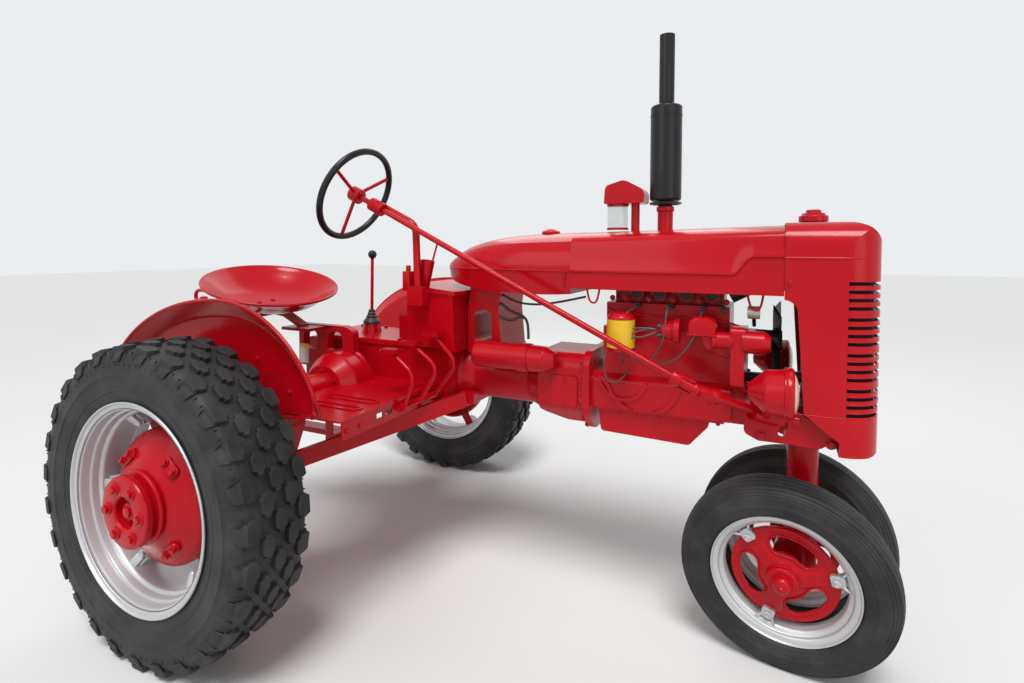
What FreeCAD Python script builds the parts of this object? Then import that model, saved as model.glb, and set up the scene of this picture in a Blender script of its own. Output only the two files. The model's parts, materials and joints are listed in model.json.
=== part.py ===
import FreeCAD, Part
import math
import os
from FreeCAD import Vector

os.makedirs("parts", exist_ok=True)

# Lengths are in millimetres, with X forwards and Y to the driver's left
# X counts from the rear axle, and Z from the middle line of the drive train

# Clearances, and how far a fused piece reaches into what carries it
bearing_gap = 0.3
seat_gap = 0.3
running_gap = 6.0
root = 6.0

# Rear wheels
rear_tread = 1740.0
rear_axle_drop = 295.0
rear_tyre_radius = 505.0
rear_tyre_width = 240.0
rear_crown_half = 100.0
rear_seat_radius = 305.0
rear_flange_height = 23.0
rear_rim_width = 230.0
rear_well_depth = 20.0
tyre_wall = 14.0
rim_wall = 5.0

# Tread blocks of the rear tyres
tread_height = 16.0
tread_count = 27
tread_length = 62.0
tread_width = 37.0
tread_rows = [
    # middle y, turn in pitches, drop below the crown
    (-84.0, 0.5, 7.0),
    (-42.0, 0.0, 1.5),
    (0.0, 0.5, 0.0),
    (42.0, 0.0, 1.5),
    (84.0, 0.5, 7.0)]

# Rear wheel disc, a deep bell whose hub stands out past the rim
wheel_axle_radius = 35.0
rear_hub_reach = 135.0
rear_hub_radius = 92.0
rear_hub_flange = 24.0
rear_hub_length = 125.0
rear_bell_radius = 222.0
rear_bell_back = 60.0
rear_disc_wall = 14.0
rear_clamp_count = 6
rear_clamp_turn = 30.0
clamp_width = 44.0

# Front wheels
front_tyre_radius = 305.0
front_tyre_width = 116.0
front_crown_half = 44.0
front_crown_drop = 6.0
front_rib_count = 5
front_groove_width = 5.0
front_groove_depth = 7.0
front_seat_radius = 190.0
front_flange_height = 18.0
front_rim_width = 92.0
front_well_depth = 14.0
front_hub_offset = 128.0
front_hub_bore = 20.0
front_disc_radius = 150.0
front_disc_wall = 8.0
front_arm_count = 3
front_arm_turn = 45.0
front_window_length = 112.0
front_window_width = 46.0
front_window_radius = 98.0
steering_trail = 35.0
camber_deg = 7.7
rest_steer_deg = -6.7

# Castings of the drive train: lengths, half widths and levels
case_back = 150.0
case_length = 750.0
case_half_width = 140.0
case_top = 105.0
case_bottom = -140.0
lid_height = 14.0
lid_lip = 8.0
tube_length = 380.0
tube_radius = 100.0
tube_flange_radius = 150.0
tube_flange = 22.0
clutch_length = 195.0
clutch_flange = 25.0
clutch_half_width = 150.0
clutch_bottom = -132.0
clutch_top = 125.0
clutch_lip = 14.0
hand_hole_length = 95.0
hand_hole_height = 108.0
lever_x = 106.0
lever_top = 462.0
lever_radius = 7.0
lever_knob_radius = 18.0

# Engine
block_length = 453.0
block_half_width = 112.0
crankcase_half_width = 138.0
pan_seam = -48.0
crankcase_top = 68.0
block_top = 230.0
head_top = 312.0
cover_top = 390.0
cover_half_width = 62.0
pan_depth = 97.0
pan_half_width = 118.0
pan_rear_inset = 20.0
pan_front_inset = 62.0
timing_depth = 38.0
side_rib_width = 12.0
side_rib_height = 8.0
oil_filter_radius = 45.0
oil_filter_height = 128.0
distributor_radius = 38.0
distributor_height = 92.0
governor_y = -188.0
governor_z = 218.0
starter_radius = 48.0
starter_length = 240.0
starter_y = -172.0
generator_radius = 55.0
generator_length = 220.0
exhaust_offset = 221.0
intake_offset = 117.0
stack_radius = 22.0
stack_side = 150.0
muffler_radius = 53.0
muffler_length = 358.0
tail_pipe_length = 232.0
collar_height = 86.0
intake_radius = 15.0
jar_radius = 36.0
jar_height = 92.0
jar_offset = 64.0
fan_radius = 145.0
fan_blades = 4
fan_drop = 60.0

# Hood, tank and radiator shell
sheet = 4.0
hood_rear_offset = 130.0
hood_half_width = 184.0
hood_bottom = 360.0
hood_crease = 420.0
hood_top = 556.0
hood_shoulder_half = 164.0
hood_shoulder_drop = 28.0
hood_crease_lip = 5.0
shell_setback = 138.0
shell_lap = 34.0
shell_length = 210.0
shell_half_width = 200.0
shell_top = 576.0
shell_side_top = 350.0
shell_bottom = -88.0
chin_seam = 22.0
chin_length = 99.0
louvre_groups = 4
louvre_slots = 4
louvre_height = 12.0
louvre_pitch = 23.0
louvre_group_pitch = 100.0
louvre_length = 84.0
louvre_rib_half = 16.0
radiator_setback = 26.0
radiator_depth = 60.0
radiator_top = 490.0
radiator_cap_radius = 42.0
fuel_cap_radius = 36.0
fuel_cap_back = 140.0

# The tank narrows to its rear
tank_sections = [
    # distance back, half width, bottom, crease, shoulder half width, shoulder level, top
    (0.0, 184.0, 340.0, 420.0, 150.0, 522.0, 556.0),
    (250.0, 176.0, 336.0, 420.0, 140.0, 514.0, 546.0),
    (410.0, 150.0, 348.0, 420.0, 112.0, 494.0, 522.0),
    (510.0, 104.0, 368.0, 418.0, 72.0, 464.0, 484.0),
    (565.0, 46.0, 392.0, 416.0, 30.0, 432.0, 440.0)]

# Bolster and front pedestal
kingpin_setback = 168.7
bolster_half_width = 160.0
bolster_wall = 14.0
bolster_bottom = -84.0
bolster_top = 8.0
bolster_side_top = 26.0
bolster_nose = 70.0
pedestal_radius = 46.0
pin_radius = 30.0
pin_length = 70.0
foot_half_width = 42.0

# Headlamps
lamp_setback = 69.0
lamp_y = -262.0
lamp_z = 92.0
lamp_radius = 71.0
lamp_depth = 58.0

# Steering: wheel, long shaft beside the hood, and stub into the worm case
steering_wheel_x = 250.0
steering_wheel_z = 706.0
shaft_y = -262.0
steering_wheel_radius = 192.0
steering_rim_thickness = 12.5
spoke_count = 3
spoke_radius = 7.0
hub_radius = 30.0
shaft_radius = 10.5
joint_radius = 20.0
fork_radius = 17.0
fork_length = 60.0
stub_radius = 14.0
stub_length_x = 155.0
stub_drop = 64.0
worm_setback = 24.0
worm_y = -174.0
worm_z = 12.5
worm_radius = 30.0
worm_length = 100.0
clamp_distance = 115.0
clamp_radius = 26.0
clamp_half_length = 32.0
post_offset = 34.0
post_radius = 14.0
post_elbow_x = 508.0
post_elbow_z = 585.0
post_bend = 55.0

# Final drives
pinion_x = 150.0
pinion_drop = 52.0
drive_case_inner_y = 545.0
drive_case_outer_y = 655.0
axle_tube_radius = 62.0
drum_radius = 128.0
drum_inner_y = 205.0
drum_outer_y = 350.0
axle_boss_radius = 78.0
axle_boss_length = 45.0

# Fenders
fender_plate_y = 690.0
fender_lip_y = 742.0
fender_plate_radius = 540.0
fender_radius = 603.0
fender_wall = 4.0
fender_fillet = 18.0
fender_bead_radius = 5.0

# Platform, battery box and driver's place
platform_z = -35.0
platform_wall = 6.0
platform_back_x = 175.0
platform_front_x = 550.0
platform_inner_y = 146.0
apron_depth = 62.0
apron_slot_length = 34.0
apron_slot_height = 18.0
loop_width = 10.0
loop_height = 4.0
box_half_width = 160.0
box_middle_y = -40.0
box_back_x = 445.0
box_length = 217.0
box_top = 336.0
lid_overlap = 8.0
dome_reach = 116.0
dome_half_width = 96.0
seat_x = -190.0
seat_y = -285.0
seat_bottom = 232.0
seat_depth = 135.0
seat_radius = 262.0
seat_wall = 5.0
seat_tilt_deg = 9.0
support_y = -214.0
support_wall = 36.0
pivot_drop = 65.0
pivot_reach = 16.0
pivot_radius = 12.0
pedal_radius = 8.0
pedal_bend = 50.0
pad_length = 68.0
pad_width = 48.0
pad_thickness = 12.0
pedal_table = [
    # pad x, y, z, knee x, y, z, pivot y
    (500.0, -375.0, 125.0, 610.0, -385.0, 50.0, -385.0),
    (535.0, -300.0, 145.0, 650.0, -290.0, 60.0, -290.0),
    (590.0, -238.0, 175.0, 690.0, -226.0, 70.0, -190.0)]
brace_half_height = 30.0
brace_half_width = 8.0

# Drawbar and power shaft
drawbar_back = 640.0
drawbar_half_width = 35.0
drawbar_hole_inset = 40.0
drawbar_hole_radius = 14.0
drawbar_bottom = -380.0
drawbar_thickness = 25.0
hanger_x = -90.0
hanger_length = 30.0
hanger_inner_y = 70.0
hanger_wall = 20.0
power_shaft_drop = 60.0
power_shaft_radius = 17.0
power_shaft_length = 72.0
collar_length = 22.0
power_collar_radius = 55.0

# Places that follow from the lengths above
case_back_x = -case_back
case_front_x = case_back_x + case_length
tube_front_x = case_front_x + tube_length
clutch_front_x = tube_front_x + clutch_length
block_front_x = clutch_front_x + block_length
timing_front_x = block_front_x + timing_depth
bolster_back_x = timing_front_x + seat_gap
kingpin_x = bolster_back_x + kingpin_setback
wheelbase = kingpin_x - steering_trail
shell_back_x = bolster_back_x + shell_setback
shell_front_x = shell_back_x + shell_length
hood_front_x = shell_back_x - shell_lap
hood_rear_x = tube_front_x + hood_rear_offset
exhaust_x = clutch_front_x + exhaust_offset
intake_x = clutch_front_x + intake_offset
rear_axle_z = -rear_axle_drop
pinion_z = -pinion_drop
rear_flange_radius = rear_seat_radius + rear_flange_height
front_flange_radius = front_seat_radius + front_flange_height
rear_rim_inner = rear_seat_radius - rear_well_depth - rim_wall
front_rim_inner = front_seat_radius - front_well_depth - rim_wall
jar_bottom = hood_top + 2 * sheet
jar_top = jar_bottom + jar_height

origin = Vector(0, 0, 0)
along_x = Vector(1, 0, 0)
along_y = Vector(0, 1, 0)
along_z = Vector(0, 0, 1)
quarter = 90.0
full_turn = 360.0
sides = [("right", -1), ("left", 1)]
nodes = {}

hub_point = Vector(steering_wheel_x, shaft_y, steering_wheel_z)
worm_point = Vector(bolster_back_x + worm_setback, worm_y, worm_z)
joint_point = Vector(worm_point.x - stub_length_x, shaft_y, worm_point.z + stub_drop)
shaft_direction = (joint_point - hub_point).normalize()
stub_direction = (worm_point - joint_point).normalize()
clamp_point = hub_point + shaft_direction * clamp_distance
post_y = shaft_y + post_offset


# A closed outline from points of (across, up, corner radius)
def outline(points):
    count = len(points)
    corners = []
    for index in range(count):
        here = Vector(points[index][0], points[index][1], 0)
        before = Vector(points[index - 1][0], points[index - 1][1], 0)
        after = Vector(points[(index + 1) % count][0], points[(index + 1) % count][1], 0)
        radius = points[index][2] if len(points[index]) > 2 else 0
        if radius == 0:
            corners.append((here, None, here))
            continue
        back = (before - here).normalize()
        ahead = (after - here).normalize()
        half = back.getAngle(ahead) / 2
        reach = radius / math.tan(half)
        centre = here + (back + ahead).normalize() * (radius / math.sin(half))
        middle = centre + (here - centre).normalize() * radius
        corners.append((here + back * reach, middle, here + ahead * reach))
    edges = []
    for index in range(count):
        start, middle, end = corners[index]
        following = corners[(index + 1) % count][0]
        if middle:
            edges.append(Part.Arc(start, middle, end).toShape())
        if (following - end).Length > 0.001:
            edges.append(Part.LineSegment(end, following).toShape())
    return Part.Wire(edges)


# A plate whose outline is (x, z), between two places across the machine
def side_plate(points, y_low, y_high):
    solid = Part.Face(outline(points)).extrude(along_z * (y_high - y_low))
    solid.translate(along_z * -y_high)
    solid.rotate(origin, along_x, quarter)
    return solid


# A plate whose outline is (x, y), between two heights
def flat_plate(points, z_low, z_high):
    solid = Part.Face(outline(points)).extrude(along_z * (z_high - z_low))
    solid.translate(along_z * z_low)
    return solid


# A bar whose section is (y, z), between two places along the machine
def long_bar(points, x_low, x_high):
    solid = Part.Face(outline(points)).extrude(along_z * (x_high - x_low))
    solid.translate(along_z * x_low)
    solid.rotate(origin, Vector(1, 1, 1), full_turn / 3)
    return solid


# A turned piece from (radius, along, corner radius), with its axis placed
def turned(points, base=origin, direction=along_y):
    solid = Part.Face(outline(points)).revolve(origin, along_y, full_turn)
    solid.Placement = FreeCAD.Placement(base, FreeCAD.Rotation(along_y, direction))
    return solid


def block(x_low, x_high, y_low, y_high, z_low, z_high):
    size = (x_high - x_low, y_high - y_low, z_high - z_low)
    return Part.makeBox(*size, Vector(x_low, y_low, z_low))


def rod(start, end, radius):
    return Part.makeCylinder(radius, (end - start).Length, start, end - start)


def fused(pieces):
    whole = pieces[0].multiFuse(pieces[1:]) if len(pieces) > 1 else pieces[0]
    return whole.removeSplitter()


def mirrored(shape):
    return shape.mirror(origin, along_y)


# A profile of (radius, along) given from its middle outwards, finished on its other side
def both_sides(points):
    return [(point[0], -point[1], *point[2:]) for point in reversed(points)] + points


# A rectangle with rounded corners about a middle point
def rounded(middle_x, middle_z, length, height, radius):
    left = middle_x - length / 2
    right = middle_x + length / 2
    low = middle_z - height / 2
    high = middle_z + height / 2
    return [(left, low, radius), (right, low, radius), (right, high, radius), (left, high, radius)]


# A bent round bar through points, with arcs of one radius at its bends
def bent_bar(points, bend, radius):
    edges = []
    start = points[0]
    for index in range(1, len(points) - 1):
        here = points[index]
        back = (points[index - 1] - here).normalize()
        ahead = (points[index + 1] - here).normalize()
        half = back.getAngle(ahead) / 2
        reach = bend / math.tan(half)
        centre = here + (back + ahead).normalize() * (bend / math.sin(half))
        middle = centre + (here - centre).normalize() * bend
        edges.append(Part.LineSegment(start, here + back * reach).toShape())
        edges.append(Part.Arc(here + back * reach, middle, here + ahead * reach).toShape())
        start = here + ahead * reach
    edges.append(Part.LineSegment(start, points[-1]).toShape())
    path = Part.Wire(edges)
    section = Part.Wire([Part.makeCircle(radius, points[0], points[1] - points[0])])
    return path.makePipeShell([section], True, False)


# Wheels are built about their own centre, with the outer side towards minus Y
# A tyre from its crown, given as (radius, along) from the middle to the shoulder
def tyre(crown, crown_half, width, seat_radius, flange_radius, rim_width):
    half = width / 2
    bead = rim_width / 2 - 2 * rim_wall
    base_radius = crown[-1][0]
    middle_radius = (base_radius + seat_radius) / 2
    shoulder_radius = base_radius - tyre_wall / 2
    inner_radius = base_radius - 1.5 * tyre_wall
    outside = crown + [
        (shoulder_radius, crown_half + tyre_wall / 2, tyre_wall / 2),
        (middle_radius, half, half / 3),
        (flange_radius + seat_gap, bead + rim_wall / 2),
        (seat_radius + seat_gap, bead)]
    inside = [
        (inner_radius, crown_half - tyre_wall, tyre_wall),
        (middle_radius, half - tyre_wall, half / 3),
        (seat_radius + seat_gap, bead - tyre_wall)]
    return turned(both_sides(outside) + both_sides(inside)[::-1])


def tread_blocks(base_radius):
    pitch = full_turn / tread_count
    top_radius = math.sqrt(rear_tyre_radius ** 2 - (tread_length / 2) ** 2)
    blocks = []
    for middle_y, turn, drop in tread_rows:
        low_y = middle_y - tread_width / 2
        piece = block(-tread_length / 2, tread_length / 2, low_y, low_y + tread_width,
                      base_radius - root - drop, top_radius - drop)
        for index in range(tread_count):
            copy = piece.copy()
            copy.rotate(origin, along_y, (index + turn) * pitch)
            blocks.append(copy)
    return blocks


def rear_tyre():
    base_radius = rear_tyre_radius - tread_height
    crown = [(base_radius, rear_crown_half / 2)]
    carcass = tyre(crown, rear_crown_half, rear_tyre_width, rear_seat_radius, rear_flange_radius,
                   rear_rim_width)
    return carcass.multiFuse(tread_blocks(base_radius))


# Ribs run round the front tyre, a little lower towards its shoulders
def front_tyre():
    def crown_radius(along):
        return front_tyre_radius - front_crown_drop * (along / front_crown_half) ** 2

    grooves = front_rib_count - 1
    rib_width = (2 * front_crown_half - grooves * front_groove_width) / front_rib_count
    crown = []
    edge = rib_width / 2
    for index in range(grooves // 2):
        far = edge + front_groove_width
        crown += [(crown_radius(edge), edge), (crown_radius(edge) - front_groove_depth, edge)]
        crown += [(crown_radius(far) - front_groove_depth, far), (crown_radius(far), far)]
        edge = far + rib_width
    crown.append((crown_radius(edge), edge))
    return tyre(crown, front_crown_half, front_tyre_width, front_seat_radius, front_flange_radius,
                front_rim_width)


def rim(seat_radius, flange_radius, width, well_depth):
    half = width / 2
    foot = half - 2 * rim_wall
    well = half / 3
    well_radius = seat_radius - well_depth
    slope = well + well_depth / 2
    outside = [(well_radius, well), (seat_radius, slope), (seat_radius, foot + seat_gap),
               (flange_radius, half - rim_wall), (flange_radius, half)]
    inside = [(well_radius - rim_wall, well + rim_wall / 2), (seat_radius - rim_wall, slope + rim_wall / 2),
              (seat_radius - rim_wall, half - rim_wall)]
    return turned(both_sides(outside) + both_sides(inside)[::-1])


def rear_disc():
    face = -rear_hub_reach
    bore = wheel_axle_radius + bearing_gap
    neck = rear_hub_radius - rear_disc_wall
    sleeve = bore + 2 * rear_disc_wall
    edge = rear_bell_back - rear_disc_wall
    rim_edge = rear_rim_inner - 2 * rear_disc_wall
    bell = turned([
        (bore, face), (rear_hub_radius, face), (rear_hub_radius, face + rear_hub_flange),
        (neck, face + rear_hub_flange), (neck + rear_disc_wall, face + 2 * rear_hub_flange, rear_disc_wall),
        (rear_bell_radius, edge - rear_disc_wall, 20), (rim_edge, edge - rear_disc_wall),
        (rim_edge, edge), (rear_bell_radius - rear_disc_wall, edge, 16),
        (sleeve, face + 3 * rear_hub_flange, 8), (sleeve, face + rear_hub_length), (bore, face + rear_hub_length)])
    arm = block(-clamp_width / 2, clamp_width / 2, edge - rear_disc_wall, edge, rim_edge - root,
                rear_rim_inner + root)
    arm = arm.common(rod(along_y * -rear_hub_reach, along_y * rear_hub_reach, rear_rim_inner - seat_gap))
    arms = []
    for index in range(rear_clamp_count):
        copy = arm.copy()
        copy.rotate(origin, along_y, index * full_turn / rear_clamp_count + rear_clamp_turn)
        arms.append(copy)
    return fused([bell] + arms)


# A dished disc with three long windows, and an arm out to the rim between them
def front_disc():
    bore = front_hub_bore + bearing_gap
    wall = front_disc_wall
    hub_radius_outer = bore + 1.7 * wall
    disc = turned([
        (bore, -6.5 * wall), (hub_radius_outer, -6.5 * wall, wall), (hub_radius_outer, -3 * wall, 6),
        (7.7 * wall, -2.3 * wall), (front_window_radius, -1.5 * wall, 30), (front_disc_radius, -wall / 4),
        (front_disc_radius, wall * 0.75), (front_window_radius, -wall / 2, 30), (6 * wall, -wall / 2),
        (6 * wall, 5 * wall), (bore, 5 * wall)])
    window = side_plate(rounded(0, -front_window_radius, front_window_length, front_window_width,
                                front_window_width / 2 - 1), -8 * wall, 8 * wall)
    arm = block(-clamp_width / 2, clamp_width / 2, -wall, 0, front_disc_radius - root,
                front_rim_inner + root)
    arm = arm.common(rod(along_y * -wall, along_y * wall, front_rim_inner - seat_gap))
    windows = []
    arms = []
    for index in range(front_arm_count):
        turn = index * full_turn / front_arm_count + front_arm_turn
        for piece, copies in ((window, windows), (arm, arms)):
            copy = piece.copy()
            copy.rotate(origin, along_y, turn)
            copies.append(copy)
    return fused([disc.cut(Part.makeCompound(windows))] + arms)


# Front wheels lean with the axle and turn with the pedestal
def place_front(shape, side):
    placed = mirrored(shape) if side > 0 else shape.copy()
    placed.rotate(origin, along_x, -side * camber_deg)
    placed.translate(Vector(wheelbase, side * front_hub_offset, front_hub_z))
    return steered(placed)


def place_rear(shape, side):
    placed = mirrored(shape) if side > 0 else shape.copy()
    placed.translate(Vector(0, side * rear_tread / 2, rear_axle_z))
    return placed


def steered(shape):
    shape.rotate(Vector(kingpin_x, 0, 0), along_z, rest_steer_deg)
    return shape


# The ground lies under the rear tyre, and the leaning front tyre stands on it
rear_tyre_shape = rear_tyre()
front_tyre_shape = front_tyre()
ground_z = rear_axle_z + rear_tyre_shape.optimalBoundingBox().ZMin
lean = front_tyre_shape.copy()
lean.rotate(origin, along_x, camber_deg)
front_hub_z = ground_z - lean.optimalBoundingBox().ZMin

wheel_pieces = [
    # node, shape about its own centre, how it is placed
    ("rear_tyre", rear_tyre_shape, place_rear),
    ("rear_rim", rim(rear_seat_radius, rear_flange_radius, rear_rim_width, rear_well_depth), place_rear),
    ("rear_disc", rear_disc(), place_rear),
    ("front_tyre", front_tyre_shape, place_front),
    ("front_rim", rim(front_seat_radius, front_flange_radius, front_rim_width, front_well_depth), place_front),
    ("front_disc", front_disc(), place_front)]
for name, shape, place in wheel_pieces:
    for side_name, side in sides:
        nodes[name + "_" + side_name] = place(shape, side)


# Front pedestal: column, foot and the two leaning axle stubs
def front_pedestal():
    column_top = bolster_bottom - bearing_gap
    column = rod(Vector(kingpin_x, 0, front_hub_z - 60), Vector(kingpin_x, 0, column_top), pedestal_radius)
    collar = rod(Vector(kingpin_x, 0, column_top - 40), Vector(kingpin_x, 0, column_top), pedestal_radius + 12)
    pin = rod(Vector(kingpin_x, 0, bolster_bottom - 20), Vector(kingpin_x, 0, bolster_bottom + pin_length), pin_radius)
    foot = side_plate([
        (wheelbase - 48, front_hub_z - 40, 30), (kingpin_x + 40, front_hub_z - 60, 20),
        (kingpin_x + 44, front_hub_z + 60, 20), (wheelbase - 36, front_hub_z + 60, 30)],
        -foot_half_width, foot_half_width)
    pieces = [column, collar, pin, foot]
    lean_angle = math.radians(camber_deg)
    for side_name, side in sides:
        outward = Vector(0, side * math.cos(lean_angle), -math.sin(lean_angle))
        centre = Vector(wheelbase, side * front_hub_offset, front_hub_z)
        inner_end = centre - outward * (front_hub_offset - root)
        pieces.append(rod(inner_end, centre + outward * 5 * front_disc_wall, front_hub_bore))
    return steered(fused(pieces))


nodes["front_pedestal"] = front_pedestal()


# Gear case with its lid, the seat of the gear lever and the power shaft behind
def transmission_case():
    case = side_plate([
        (case_back_x, case_bottom + 60, 40), (case_back_x + 40, case_bottom, 30), (case_front_x, case_bottom + 30),
        (case_front_x, case_top - 10), (case_back_x, case_top, 40)], -case_half_width, case_half_width)
    lid_y = case_half_width + lid_lip
    lid = flat_plate([
        (case_back_x + 60, -lid_y, 20), (case_front_x - 180, -lid_y, 20), (case_front_x - 180, lid_y, 20),
        (case_back_x + 60, lid_y, 20)], case_top - root, case_top + lid_height)
    lever_seat = turned([(0, 0), (46, 0), (34, 46), (0, 46)],
                        Vector(lever_x, 0, case_top + lid_height - root), along_z)
    shaft_start = Vector(case_back_x + root, 0, -power_shaft_drop)
    power_shaft = rod(shaft_start, Vector(case_back_x - power_shaft_length, 0, -power_shaft_drop),
                      power_shaft_radius)
    collar = rod(shaft_start, Vector(case_back_x - collar_length, 0, -power_shaft_drop), power_collar_radius)
    return fused([case, lid, lever_seat, power_shaft, collar])


def torque_tube():
    tube = turned([
        (0, case_front_x), (tube_flange_radius, case_front_x), (tube_flange_radius, case_front_x + tube_flange),
        (tube_radius + 18, case_front_x + tube_flange + 8, 20), (tube_radius, case_front_x + 90, 30),
        (tube_radius, tube_front_x - 60, 30), (tube_radius + 26, tube_front_x), (0, tube_front_x)],
        origin, along_x)
    lug = side_plate([
        (case_front_x + 40, -110, 8), (case_front_x + 100, -110, 8), (case_front_x + 100, -65),
        (case_front_x + 40, -65)], -tube_radius - 22, tube_radius + 22)
    return fused([tube, lug])


# Clutch housing, round below, with a flange to the engine and a hand hole cover
def clutch_housing():
    half = clutch_half_width

    def section(lip):
        return [
            (-half - lip, clutch_bottom + 70 - lip, 60), (-half + 70, clutch_bottom - lip, 50),
            (half - 70, clutch_bottom - lip, 50), (half + lip, clutch_bottom + 70 - lip, 60),
            (half + lip, clutch_top + lip, 60), (-half - lip, clutch_top + lip, 60)]

    back_x = tube_front_x
    flange_back_x = clutch_front_x - clutch_flange
    body = long_bar(section(0), back_x, flange_back_x)
    belly = side_plate([
        (back_x - 10, -70), (back_x, -90, 60), (flange_back_x - 60, clutch_bottom, 90),
        (clutch_front_x, clutch_bottom - root), (clutch_front_x, clutch_top + root), (back_x - 10, clutch_top + root)],
        -half - clutch_lip, half + clutch_lip)
    flange = long_bar(section(clutch_lip), flange_back_x, clutch_front_x)
    cover_x = (back_x + flange_back_x) / 2 + 17
    cover = side_plate(rounded(cover_x, -4, hand_hole_length, hand_hole_height, 14), -half - 8, half + 8)
    return fused([body.common(belly), flange, cover])


def engine_block():
    half = crankcase_half_width
    crank = long_bar([
        (-half, pan_seam), (half, pan_seam), (half, crankcase_top - 20, 20), (block_half_width, crankcase_top),
        (-block_half_width, crankcase_top), (-half, crankcase_top - 20, 20)], clutch_front_x, block_front_x)
    upper = block(clutch_front_x + 35, block_front_x, -block_half_width, block_half_width,
                  crankcase_top - root, block_top)
    head = block(clutch_front_x + 45, block_front_x - 10, -block_half_width + 6, block_half_width - 6,
                 block_top - root, head_top)
    cover = long_bar([
        (-cover_half_width, head_top - root), (cover_half_width, head_top - root),
        (cover_half_width, cover_top, 22), (-cover_half_width, cover_top, 22)],
        clutch_front_x + 65, block_front_x - 30)
    return fused([crank, upper, head, cover] + crankcase_ribs())


# Curved ribs stand on both sides of the crankcase
def crankcase_ribs():
    y = crankcase_half_width
    ribs = []
    for middle_x, radius in ((clutch_front_x + 110, 88.0), (clutch_front_x + 178, 128.0)):
        middle = Vector(middle_x, 0, crankcase_top)
        ring = rod(middle - along_y * (y + side_rib_height), middle + along_y * (y + side_rib_height), radius)
        hole = rod(middle - along_y * 2 * y, middle + along_y * 2 * y, radius - side_rib_width)
        keep = block(clutch_front_x + side_rib_width, block_front_x, -2 * y, 2 * y, pan_seam + 4, crankcase_top - 20)
        core = block(clutch_front_x, block_front_x, root - y, y - root, pan_seam, crankcase_top)
        ribs.append(ring.cut(hole).common(keep).cut(core))
    return ribs


def oil_pan():
    rear_x = clutch_front_x + pan_rear_inset
    front_x = block_front_x - pan_front_inset
    bottom = pan_seam - pan_depth
    pan = side_plate([
        (rear_x, pan_seam), (front_x, pan_seam), (front_x - 8, pan_seam - 30, 10), (front_x - 66, bottom, 14),
        (rear_x + 10, bottom + 8, 14)], -pan_half_width, pan_half_width)
    plug_x = front_x - 130
    plug = rod(Vector(plug_x, 0, bottom - 14), Vector(plug_x, 0, bottom + root), 17)
    lip = block(clutch_front_x + 8, block_front_x - 20, 4 - crankcase_half_width, crankcase_half_width - 4,
                pan_seam - 8, pan_seam)
    return fused([pan, plug, lip])


# Front plate of the engine, with the governor ahead of it and its drive behind
def timing_case():
    foot = pan_seam - 6
    plate = long_bar([
        (governor_y - 22, 80, 14), (-pan_half_width, 80), (-pan_half_width, foot), (pan_half_width, foot),
        (pan_half_width, block_top, 30), (governor_y + 18, governor_z + 44, 12), (governor_y - 22, governor_z + 44, 20)],
        block_front_x, timing_front_x)
    governor = turned([(0, 0), (34, 0), (34, 60, 14), (22, 78, 8), (0, 78)],
                      Vector(timing_front_x - root, governor_y, governor_z), along_x)
    drive = turned([(0, 0), (30, 0), (26, 12), (26, 46), (30, 58), (0, 58)],
                   Vector(block_front_x - 52, governor_y, governor_z), along_x)
    pulley = turned([(0, 0), (40, 0), (40, 8), (32, 14), (40, 20), (40, 26), (0, 26)],
                    Vector(timing_front_x, 0, 10), along_x)
    return fused([plate, governor, drive, pulley])


# Front bolster: two side plates, web and tower for the pedestal, and the steering worm case
def front_bolster():
    nose_x = kingpin_x + bolster_nose
    web_low = bolster_bottom + 26
    shape = [
        (bolster_back_x, web_low - 7, 20), (bolster_back_x + 40, bolster_bottom, 20), (nose_x - 31, bolster_bottom, 12),
        (nose_x, web_low - 4, 10), (nose_x + 10, web_low + 10, 6), (bolster_back_x + 131, bolster_side_top, 8),
        (bolster_back_x, bolster_side_top)]
    half = bolster_half_width
    plates = [side_plate(shape, -half, bolster_wall - half), side_plate(shape, half - bolster_wall, half)]
    back = block(bolster_back_x, bolster_back_x + 22, 2 - half, half - 2, web_low, bolster_side_top)
    web = block(bolster_back_x, nose_x, 2 - half, half - 2, web_low, web_low + 18)
    tower_height = bolster_top - bolster_bottom
    tower = turned([(0, 0), (88, 0), (88, 14), (72, 20, 6), (66, tower_height, 10), (0, tower_height)],
                   Vector(kingpin_x, 0, bolster_bottom), along_z)
    slot_x = bolster_back_x + 92
    slot = side_plate([(slot_x, -62, 8), (slot_x + 16, -68, 8), (slot_x + 32, -20, 8), (slot_x + 16, -14, 8)],
                      -half - root, half + root)
    worm_case = rod(worm_point, worm_point + stub_direction * worm_length, worm_radius)
    pulley_way = rod(Vector(bolster_back_x - root, 0, 10), Vector(bolster_back_x + 30, 0, 10), 40 + running_gap)
    pin_top = bolster_bottom + pin_length + seat_gap
    bore = rod(Vector(kingpin_x, 0, bolster_bottom - root), Vector(kingpin_x, 0, pin_top), pin_radius + bearing_gap)
    frame = fused(plates + [back, web, tower]).cut(slot)
    return fused([frame, worm_case]).cut(pulley_way).cut(bore)


for build in (transmission_case, torque_tube, clutch_housing, engine_block, oil_pan, timing_case, front_bolster):
    nodes[build.__name__] = build()


# One outline gives the shell's outside and, thinner by a wall, its inside
def shell_form(wall):
    half = shell_half_width - wall
    back = hood_front_x - 2 * wall
    front = shell_front_x - wall
    low = shell_bottom + wall
    high = shell_top - wall
    plan = flat_plate([(back, -half), (front, -half, 92 - wall), (front + 6, 0, 260), (front, half, 92 - wall),
                       (back, half)], low, high)
    profile = side_plate([(back, low), (front + 40, low, 70 - wall), (front + 6, high, 96 - wall), (back, high)],
                         -half - 1, half + 1)
    section = long_bar([(-half, low), (half, low), (half, high, 70 - wall), (-half, high, 70 - wall)],
                       back, front + 60)
    return plan.common(profile).common(section)


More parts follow.
